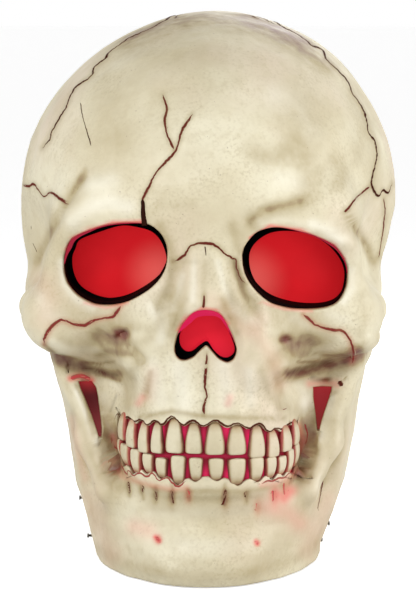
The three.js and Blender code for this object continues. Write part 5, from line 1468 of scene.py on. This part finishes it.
def furrows(name, lines, wide, red=0.0, lift=0.0, growth=1.0, solid=False):
    """One object with several cracks; solid ones are ink from edge to edge."""
    points, quads, ends, ink, glow = [], [], [], [], []
    start = 0
    for seed, line in enumerate(lines):
        p, q, e, i, g = furrow(line, wide, seed + 7 * len(name), red, lift, growth)
        points.append(p)
        quads.append(q + start)
        ends.extend(v + start for v in e)
        ink.append(np.maximum(i, solid) * (1 - red))
        glow.append(g)
        start += len(p)
    piece(
        name, np.vstack(points), [np.vstack(quads), np.array(ends)], bone, slot="bone_plastic",
        wash=np.tile(FURROW_SHADE_AND_WASH, start // len(FURROW)), glow=np.concatenate(glow), ink=np.concatenate(ink),
    )


furrows("sutures", SUTURES, 1.25, red=0.10)
furrows("cracks", CRACKS, 0.80, red=0.30)
furrows("fine_cracks", FINE_CRACKS, 0.36)
furrows("red_cracks", RED_CRACKS, 0.95, red=0.45)
furrows("eye_cleft", [EYE_CLEFT], 0.95, lift=0.5, growth=1.6, solid=True)
furrows("root_marks", ROOT_MARKS, 1.35, red=0.22)
furrows("red_marks", RED_MARKS, 1.4, red=0.85)
furrows("upper_gum_line", [UPPER_GUM], 0.62, red=0.15)
furrows("lower_gum_lines", LOWER_GUM, 0.55, red=0.6)


# Eyes and nose: near-black tunnels with a bezel, which also paint the shade in the sockets, and domed red
# lenses
EYE_LENS_EDGE = -128
LENS_BULGE = 9
NOSE_LENS_FRONT = -214


def at_depth(y):
    """A projection of pixels onto a plane across the view."""

    def project(pixels):
        px, py = np.moveaxis(np.asarray(pixels, float), -1, 0)
        return np.stack(photo_ray(px, py, np.full(px.shape, float(y))), -1)

    return project


def tunnel(name, shape, lens_shape, edge, node):
    """A near-black liner, which also paints the shade on the socket walls: from behind the rim straight
    back to the lens's plane, then in to the lens's edge.
    """
    turn = np.linspace(0, 2 * np.pi, 128, endpoint=False)
    mouth = facing(*along_star(shape, turn, 0.2).T)
    wall = along_star(shape, turn, 0.6)
    lens_edge = along_star(lens_shape, turn)
    profile = []
    front = np.minimum(mouth[:, 1] + WALL + 0.6, edge - 3)
    for share in (0, 0.5, 1):
        y = front + (edge - front) * share
        profile.append(np.stack([wall[:, 0], y, wall[:, 1]], -1))
    for share in (0.35, 0.7, 1):
        flat = wall + (lens_edge - wall) * share
        profile.append(np.stack([flat[:, 0], np.full(len(turn), edge + 0.2 * share), flat[:, 1]], -1))
    profile.append(profile[-1] + [0, 3, 0])
    outer = along_star(shape, turn, 2.6)
    profile.append(np.stack([outer[:, 0], np.full(len(turn), edge + 3.2), outer[:, 1]], -1))
    profile.append(np.stack([outer[:, 0], front + 0.6, outer[:, 1]], -1))
    points = np.array(profile)
    points = np.concatenate([points, points[:1]])
    count, size = points.shape[:2]
    number = np.arange((count - 1) * size).reshape(count - 1, size)
    number = np.vstack([number, number[:1]])
    number = np.hstack([number, number[:, :1]])
    quads = np.concatenate([band(number[k], number[k + 1]) for k in range(count - 1)])
    piece(name, points[:-1].reshape(-1, 3), [quads], matt_black_shade, replaced=[node], slot="black_plastic")


LENS_SIDES = 96


def lens(name, shape, edge, bulge, material, node):
    """A domed lens: rings from the middle to the outline, bulging forwards, closed by a flat back."""
    turn = np.linspace(0, 2 * np.pi, LENS_SIDES, endpoint=False)
    rim = along_star(shape, turn, 1.2)
    shares = np.linspace(0, 1, 15)[1:]
    front = []
    for share in shares:
        across, up = (shape[0] + (rim - shape[0]) * share).T
        depth = np.full(len(turn), edge - bulge * (1 - share * share))
        front.append(np.stack([across, depth, up], -1))
    back = [front[-1] + [0, 2, 0]]
    points = np.vstack([np.array(front + back).reshape(-1, 3), [[shape[0][0], edge - bulge, shape[0][1]]],
                        [[shape[0][0], edge + 2, shape[0][1]]]])
    quads = rings(np.array(front + back))[:, ::-1]
    first = np.arange(LENS_SIDES)
    last = len(front) * LENS_SIDES + first
    middle, far = len(points) - 2, len(points) - 1
    near_fan = np.stack([np.full(LENS_SIDES, middle), first, np.roll(first, -1)], -1)
    far_fan = np.stack([np.full(LENS_SIDES, far), np.roll(last, -1), last], -1)
    piece(name, points, [quads, np.vstack([near_fan, far_fan])], material, replaced=[node], slot="red_lens")


def lit_edge(name, shape, arc, widths, material):
    """A lit strip inside a rim: a flat crescent, with its widths in millimetres at angles in degrees."""
    turn = np.radians(np.linspace(arc[0], arc[-1], 90))
    width = np.interp(np.degrees(turn), arc, widths)
    outer, inner = along_star(shape, turn, 0.5), along_star(shape, turn, -width)
    y = facing(*along_star(shape, turn, 0.2).T)[:, 1] + RIM_ROLL
    corners = ((outer, 0), (inner, 0.3), (inner, 1.2), (outer, 1.2))
    section = [np.stack([xz[:, 0], y + back, xz[:, 1]], -1) for xz, back in corners]
    points = np.array(section).transpose(1, 0, 2)
    caps = np.array([np.arange(4), (len(points) - 1) * 4 + np.arange(4)[::-1]])
    piece(name, points.reshape(-1, 3), [rings(points)[:, ::-1], caps], material, slot="red_lens")


RED = (0.56, 0.011, 0.016)
DARK_RED = (0.36, 0.006, 0.009)
PINK_RED = (0.74, 0.11, 0.095)
lens_red = [
    glow_paint("lens_left", PINK_RED, RED, DARK_RED, (-0.050, -0.135, 0.318), (0.0, 0.105), 0.92),
    glow_paint("lens_right", PINK_RED, RED, DARK_RED, (0.046, -0.135, 0.312), (0.0, 0.110), 0.92),
]
nose_red = glow_paint("lens_nose", (0.58, 0.015, 0.035), (0.53, 0.011, 0.024), (0.46, 0.008, 0.016),
                      (0.012, -0.214, 0.246), (0.0, 0.06), 0.80)
eye_magenta = glow_paint("eye_edge", (0.50, 0.02, 0.05), (0.42, 0.018, 0.045), (0.34, 0.02, 0.04),
                         (0, -0.2, 0.33), (0.0, 0.2), 0.95, (0.02, 0.001, 0.002))
nose_magenta = glow_paint("nose_edge", (0.75, 0.014, 0.085), (0.73, 0.014, 0.09), (0.60, 0.02, 0.08),
                          (-0.015, -0.22, 0.28), (0.0, 0.06), 0.92, (0.02, 0.001, 0.002))
for k, side in enumerate(("left", "right")):
    lens_shape = star(EYE_LENSES[k], EYE_HEARTS[k], at_depth(EYE_LENS_EDGE))
    tunnel(f"eye_tunnel_{side}", eye_shapes[k], lens_shape, EYE_LENS_EDGE, f"eye_cup_{side}")
    lens(f"eye_glass_{side}", lens_shape, EYE_LENS_EDGE, LENS_BULGE, lens_red[k], f"eye_lens_{side}")
lit_edge("eye_edge_left", eye_shapes[0], (55, 75, 120, 150, 165, 185), (0.2, 0.9, 1.1, 3.4, 4.0, 0.2),
         eye_magenta)
lit_edge("eye_edge_right", eye_shapes[1], (-10, 15, 32, 60, 95, 125), (0.2, 1.4, 2.6, 1.2, 1.0, 0.2),
         eye_magenta)
lit_edge("nose_edge", nose_shape, (-20, 10, 40, 80, 100, 140, 165, 180),
         (0.2, 1.6, 2.6, 6.0, 6.5, 6.0, 4.0, 0.2), nose_magenta)
nose_lens_shape = star(NOSE_LENS, NOSE_HEART, at_depth(NOSE_LENS_FRONT))
tunnel("nose_tunnel", nose_shape, nose_lens_shape, NOSE_LENS_FRONT, "nose_cup")
lens("nose_glass", nose_lens_shape, NOSE_LENS_FRONT, 2, nose_red, "nose_lens")


# Mouth: teeth in front of a lit red strip
# A tooth's sections from its biting edge to its root: place along it and share of its full width
TOOTH_RISE = (0, 0.006, 0.025, 0.07, 0.14, 0.25, 0.38, 0.52, 0.65, 0.77, 0.87, 0.94, 0.985, 1.0)
TOOTH_FULL = (0.02, 0.72, 0.90, 0.98, 1.0, 0.98, 0.935, 0.865, 0.78, 0.69, 0.58, 0.44, 0.27, 0.02)


def tooth_points(left, right, neck, edge):
    """One tooth: rounded sections that narrow to the root, closed at its biting edge and inside the gum."""
    low, high = on_arch(np.array([left, right]), np.array([edge, edge]), TOOTH_IN)
    z_edge, z_neck = high[0], on_arch((left + right) / 2, neck, TOOTH_IN)[1]
    away = np.sign(z_neck - z_edge)
    z_edge -= away * 0.9
    root = z_neck + away * 0.8
    rise, full = np.array(TOOTH_RISE), np.array(TOOTH_FULL)
    if away < 0:
        full = np.where(rise > 0.3, full + 0.35 * (1 - full) * (rise < 0.98), full)
    turn = np.linspace(0, 2 * np.pi, 28, endpoint=False)
    c, s = np.cos(turn), np.sin(turn)
    across = np.sign(c) * np.abs(c) ** 0.62
    deep = np.sign(s) * np.abs(s) ** 0.75
    middle, half = (low[0] + low[1]) / 2, 0.955 * (low[1] - low[0]) / 2
    angle = middle + half * full[:, None] * across
    thick = TOOTH_DEEP / 2 * np.minimum(full * 1.05, 1)
    bow = 4.2 * rise**3 + 1.2 * (1 - rise) ** 4
    inward = TOOTH_IN + TOOTH_DEEP / 2 + bow[:, None] + thick[:, None] * deep
    x, y = np.moveaxis(arch_point(angle, inward), -1, 0)
    z = np.broadcast_to((z_edge + (root - z_edge) * rise)[:, None], x.shape)
    points = np.stack([x, y, z], -1)
    # Painted shade at the teeth's sides and towards the gum; painted red glow on the edges of the side
    # teeth
    edge_shade = 0.85 * smooth_step((np.abs(across) - 0.66) / 0.34)
    edge_shade = edge_shade + 0.6 * smooth_step((rise[:, None] - 0.6) / 0.4)
    side = smooth_step((abs((left + right) / 2 - 206) - 45) / 40)
    wash = np.clip(edge_shade + 0.12, 0, 0.95)
    glow = (0.10 + 0.34 * side) * np.clip(edge_shade, 0, 1)
    return points, wash, glow, root > z_edge


def teeth(name, list_of_teeth):
    """A row of teeth as one object."""
    points, quads, ends, wash, glow = [], [], [], [], []
    start = 0
    for tooth in list_of_teeth:
        p, w, g, upwards = tooth_points(*tooth)
        faces = rings(p)
        caps = [np.arange(p.shape[1]), (len(p) - 1) * p.shape[1] + np.arange(p.shape[1])]
        caps = [caps[0][::-1], caps[1]]
        if not upwards:
            faces, caps = faces[:, ::-1], [c[::-1] for c in caps]
        points.append(p.reshape(-1, 3))
        quads.append(faces + start)
        ends.extend(c + start for c in caps)
        wash.append(w.ravel())
        glow.append(g.ravel())
        start += p.shape[0] * p.shape[1]
    piece(name, np.vstack(points), [np.vstack(quads), np.array(ends)], bone, slot="bone_plastic",
          wash=1.1 * np.concatenate(wash), glow=np.concatenate(glow), ink=0.0)


teeth("upper_teeth", UPPER_TEETH)
teeth("lower_teeth", LOWER_TEETH)


def mouth_paint():
    """Lit red plastic seen through the gaps: dark, and bright where a lamp stands behind a gap."""
    paint = Paint("mouth_glow")
    colour = paint.mix(paint.attribute("lit"), (0.10, 0.006, 0.009), (0.74, 0.02, 0.105))
    shade = paint.spread(paint.noise(90.0, 2.0), 0.3, 0.7, 0.8, 1.0)
    paint.set(
        Base_Color=(0.10, 0.006, 0.01),
        Emission_Color=colour,
        Emission_Strength=shade,
        Roughness=0.5,
        Specular_IOR_Level=0.1,
    )
    return paint.material


# Where the light shows between the teeth: pixel, reach and strength
GAP_LIGHTS = (
    ((147.5, 432), (2.5, 9), 0.9), ((162.5, 430), (2, 8), 0.8), ((184, 432), (3, 8), 0.75),
    ((204, 436), (2.5, 9), 0.6), ((227, 430), (5, 10), 1.0), ((249, 440), (4, 12), 1.0),
    ((268.5, 440), (3, 8), 0.9), ((283, 440), (2, 10), 0.6), ((296, 440), (3, 12), 0.8),
    ((305, 432), (4, 14), 0.75), ((123, 432), (2, 10), 0.6), ((134.5, 435), (2.5, 10), 0.7),
    ((205, 457), (70, 1.6), 0.45), ((166, 475), (3, 10), 0.5), ((187, 472), (2, 10), 0.4),
    ((205.5, 475), (3.5, 8), 0.85), ((227, 477), (3, 9), 0.85), ((249, 477), (3, 9), 0.7),
    ((266, 474), (3, 9), 0.8), ((278, 470), (2, 9), 0.8), ((290, 468), (3, 9), 0.9),
    ((152, 468), (2, 10), 0.8), ((139, 466), (2, 10), 0.8), ((127, 460), (2, 9), 0.8),
    ((114, 440), (5, 12), 0.6),
)


STRIP_SPAN = (106, 181)  # lower and upper edge of the lit strip


def red_strip():
    """The lit strip behind the teeth: an upright band along the arch, with a flat back."""
    turn = np.linspace(-1.3, 1.3, 240)
    heights = np.linspace(*STRIP_SPAN, 40)
    sections = [(10.2, z) for z in heights] + [(12.4, heights[-1]), (12.4, heights[0])]
    points = np.stack(
        [np.column_stack([arch_point(turn, i), np.full(len(turn), z)]) for i, z in sections], 1
    )
    pixels = pixel_of(points.reshape(-1, 3))
    lit = np.zeros(len(pixels))
    for light in GAP_LIGHTS:
        lit = 1 - (1 - lit) * (1 - light[2] * pit_at(pixels, light))
    size = len(sections)
    caps = np.array([np.arange(size)[::-1], (len(points) - 1) * size + np.arange(size)])
    piece("mouth_strip", points.reshape(-1, 3), [rings(points), caps], mouth_paint(),
          replaced=["mouth_lens"], slot="red_lens", lit=lit)


red_strip()


SLOT_ROWS = 32  # points down each side of a slot


def slot_liner(name, edges, material):
    """A red cup behind a slot of the jaw, as deep as a finger is thick."""
    levels, west, east = edges
    share = np.linspace(0, 1, SLOT_ROWS)
    z = levels[0] + (levels[-1] - levels[0]) * share
    left, right = np.interp(z, levels, west), np.interp(z, levels, east)
    x, z = np.r_[right, left[::-1]], np.r_[z, z[::-1]]
    side = np.r_[np.ones(SLOT_ROWS), -np.ones(SLOT_ROWS)]
    count = len(side)
    y = facing(x, z)[:, 1] + WALL + 0.8
    floor_y = np.full(count, y.max() + 13)
    n = np.arange(count)
    sections = ((0.5, y), (0.5, floor_y), (2.0, floor_y + 1.5), (2.0, y))
    points = np.vstack([np.stack([x + side * grow, depth, z], -1) for grow, depth in sections])
    a, b, c, d = (closed(n + count * k) for k in range(4))
    quads = np.vstack([band(a, b), band(d, a), band(c, d)])
    rows = np.arange(SLOT_ROWS - 1)
    opposite = count - 1 - rows
    back_wall = [
        np.stack([k + rows, k + rows + 1, k + opposite - 1, k + opposite], -1) for k in (count, 2 * count)
    ]
    piece(name, points, [np.vstack([quads[:, ::-1], back_wall[0][:, ::-1], back_wall[1]])], material,
          slot="black_plastic")


slot_paints = [
    glow_paint("slot_left", (0.50, 0.035, 0.04), (0.09, 0.013, 0.014), (0.20, 0.035, 0.035),
               (-0.126, -0.100, 0.208), (0.002, 0.062), 0.9, (0.02, 0.004, 0.004)),
    glow_paint("slot_right", (0.40, 0.028, 0.036), (0.28, 0.024, 0.028), (0.20, 0.03, 0.024),
               (0.125, -0.100, 0.206), (0.0, 0.06), 0.85, (0.12, 0.01, 0.012)),
]
for side, edges, paint in zip(("left", "right"), slot_edges, slot_paints):
    slot_liner(f"jaw_slot_{side}", edges, paint)


# Screws at the seam: domed heads with a cross
# A head's rings from its top to its underside: share of its radius, and depth in millimetres
HEAD_FAR = (0.12, 0.3, 0.5, 0.7, 0.86, 0.97, 1.0, 0.97, 0.5)
HEAD_DROP = (0.0, 0.02, 0.09, 0.26, 0.52, 0.85, 1.3, 1.5, 1.6)
HEAD_SIDES = 48
SEAM_SCREWS = ((84.8, 499.0), (91.0, 537.6), (326.0, 524.4), (318.6, 541.0))
SCREW_OUT = (7.6, 5.6, 5.4, 5.6)  # dome in front of the pixel that a head is seen at


def screw_head(name, node, pixel, prouder):
    """A domed screw head, turned round the line of its screw, with a cross pressed into its top."""
    low, high = (np.array(v) * 1000 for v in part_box(node))
    side = 1 if low[0] + high[0] > 0 else -1
    middle = (low + high) / 2
    tip = photo_ray(*pixel, middle[1])[0] + side * prouder
    radius = (high[2] - low[2]) / 2
    turn = np.linspace(0, 2 * np.pi, HEAD_SIDES, endpoint=False)
    far, drop = np.array(HEAD_FAR), np.array(HEAD_DROP)
    cross = np.exp(-((np.minimum(np.abs(np.sin(turn)), np.abs(np.cos(turn))) / 0.16) ** 2))
    dent = 0.5 * cross * np.clip(1 - (far / 0.72) ** 4, 0, 1)[:, None]
    out = tip - side * (drop[:, None] + dent)
    y = middle[1] + far[:, None] * radius * np.cos(turn)
    z = middle[2] + far[:, None] * radius * np.sin(turn)
    points = np.stack([out, y, z], -1)
    shank = points[-1:].copy()
    shank[..., 0] -= side * 9
    points = np.concatenate([points, shank])
    quads = rings(points)
    first = np.arange(HEAD_SIDES)
    caps = np.array([first[::-1], (len(points) - 1) * HEAD_SIDES + first])
    if side > 0:
        quads, caps = quads[:, ::-1], caps[:, ::-1]
    piece(name, points.reshape(-1, 3), [quads, caps], dark_steel, replaced=[node], slot="steel")


for k, (pixel, prouder) in enumerate(zip(SEAM_SCREWS, SCREW_OUT), 1):
    screw_head(f"seam_screw_{k}", f"side_screw_{k}", pixel, prouder)


# CAD nodes that stay: their finish
for node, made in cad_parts.items():
    finish = next(
        paint
        for words, paint in (
            (("shell", "base_plate", "door"), bone),
            (("foot",), rubber),
            (("screw", "contact", "pin"), steel),
            (("lamp_frame", "cup", "tray", "switch_"), black),
            (("lens",), lens_red[0]),
            (("_board",), board),
            (("_lamp",), lamp),
            (("battery_",), wrap),
            (("wire_main", "wire_eye"), red_wire),
            (("wire",), black_wire),
        )
        if any(word in node for word in words)
    )
    made.data.materials.clear()
    made.data.materials.append(finish)


# Floor, light and camera
def floor_paint():
    """A white floor that looks as bright as the background except where the skull shades it."""
    paint = Paint("floor")
    seen = paint.add("ShaderNodeLightPath").outputs["Is Camera Ray"]
    clouds = paint.spread(paint.noise(3.0, 2.0), 0.3, 0.7)
    colour = paint.mix(clouds, (0.86, 0.86, 0.86), (0.88, 0.88, 0.88))
    paint.set(Base_Color=colour, Roughness=0.9, Emission_Color=(1, 1, 1, 1))
    paint.set(Emission_Strength=paint.math("MULTIPLY", seen, 0.60))
    return paint.material


FLOOR = 40  # half a side of the floor, in metres
floor = bpy.data.meshes.new("floor")
floor_corners = [(-FLOOR, -FLOOR, 0), (FLOOR, -FLOOR, 0), (FLOOR, FLOOR, 0), (-FLOOR, FLOOR, 0)]
floor.from_pydata(floor_corners, [], [(0, 1, 2, 3)])
floor.materials.append(floor_paint())
floor_object = bpy.data.objects.new("floor", floor)
bpy.context.scene.collection.objects.link(floor_object)

AROUND_LIGHT = 0.36  # how strongly the white surroundings light the skull
AROUND_SEEN = 1.0  # how bright they look
world = bpy.data.worlds.new("studio")
world.use_nodes = True
bpy.context.scene.world = world
tree = world.node_tree
background = tree.nodes["Background"]
path = tree.nodes.new("ShaderNodeLightPath")
strength = tree.nodes.new("ShaderNodeMapRange")
rays = tree.nodes.new("ShaderNodeMath")
rays.operation = "MAXIMUM"
more_rays = tree.nodes.new("ShaderNodeMath")
more_rays.operation = "MAXIMUM"
tree.links.new(path.outputs["Is Camera Ray"], rays.inputs[0])
tree.links.new(path.outputs["Is Glossy Ray"], rays.inputs[1])
tree.links.new(rays.outputs[0], more_rays.inputs[0])
tree.links.new(path.outputs["Is Transmission Ray"], more_rays.inputs[1])
tree.links.new(more_rays.outputs[0], strength.inputs[0])
strength.inputs[3].default_value = AROUND_LIGHT
strength.inputs[4].default_value = AROUND_SEEN
tree.links.new(strength.outputs[0], background.inputs["Strength"])
background.inputs["Color"].default_value = (1, 1, 1, 1)


def area_light(name, place, size, power):
    """A soft square lamp that points at the middle of the skull."""
    data = bpy.data.lights.new(name, "AREA")
    data.shape = "SQUARE"
    data.size = size
    data.energy = power
    made = bpy.data.objects.new(name, data)
    made.location = place
    made.rotation_euler = (Vector((0, 0, 0.3)) - Vector(place)).to_track_quat("-Z", "Y").to_euler()
    bpy.context.scene.collection.objects.link(made)


area_light("key", (-1.2, -2.5, 1.8), 0.9, 40)
area_light("fill", (1.7, -2.6, 0.8), 1.4, 13)
area_light("left", (-2.6, -0.6, 0.7), 1.6, 16)
area_light("right", (2.6, -0.4, 0.8), 1.4, 36)
area_light("back", (0.6, 2.4, 1.8), 1.6, 16)

camera = bpy.data.cameras.new("camera")
camera.lens = 36 * VIEW_FAR / (PHOTO[1] * PIXEL)
camera.shift_x = (PHOTO[0] / 2 - PHOTO_AT[0]) / PHOTO[1]
camera.shift_y = -(PHOTO[1] / 2 - PHOTO_AT[1]) / PHOTO[1]
turn, rise = math.radians(VIEW_TURN), math.radians(VIEW_RISE)
back = Vector((math.sin(turn) * math.cos(rise), -math.cos(turn) * math.cos(rise), math.sin(rise)))
camera_object = bpy.data.objects.new("camera", camera)
camera_object.location = Vector((0, 0, VIEW_AT / 1000)) + back * VIEW_FAR / 1000
camera_object.rotation_euler = (-back).to_track_quat("-Z", "Y").to_euler()
camera.clip_end = 200
bpy.context.scene.collection.objects.link(camera_object)
bpy.context.scene.camera = camera_object
bpy.context.scene.view_settings.view_transform = "Standard"
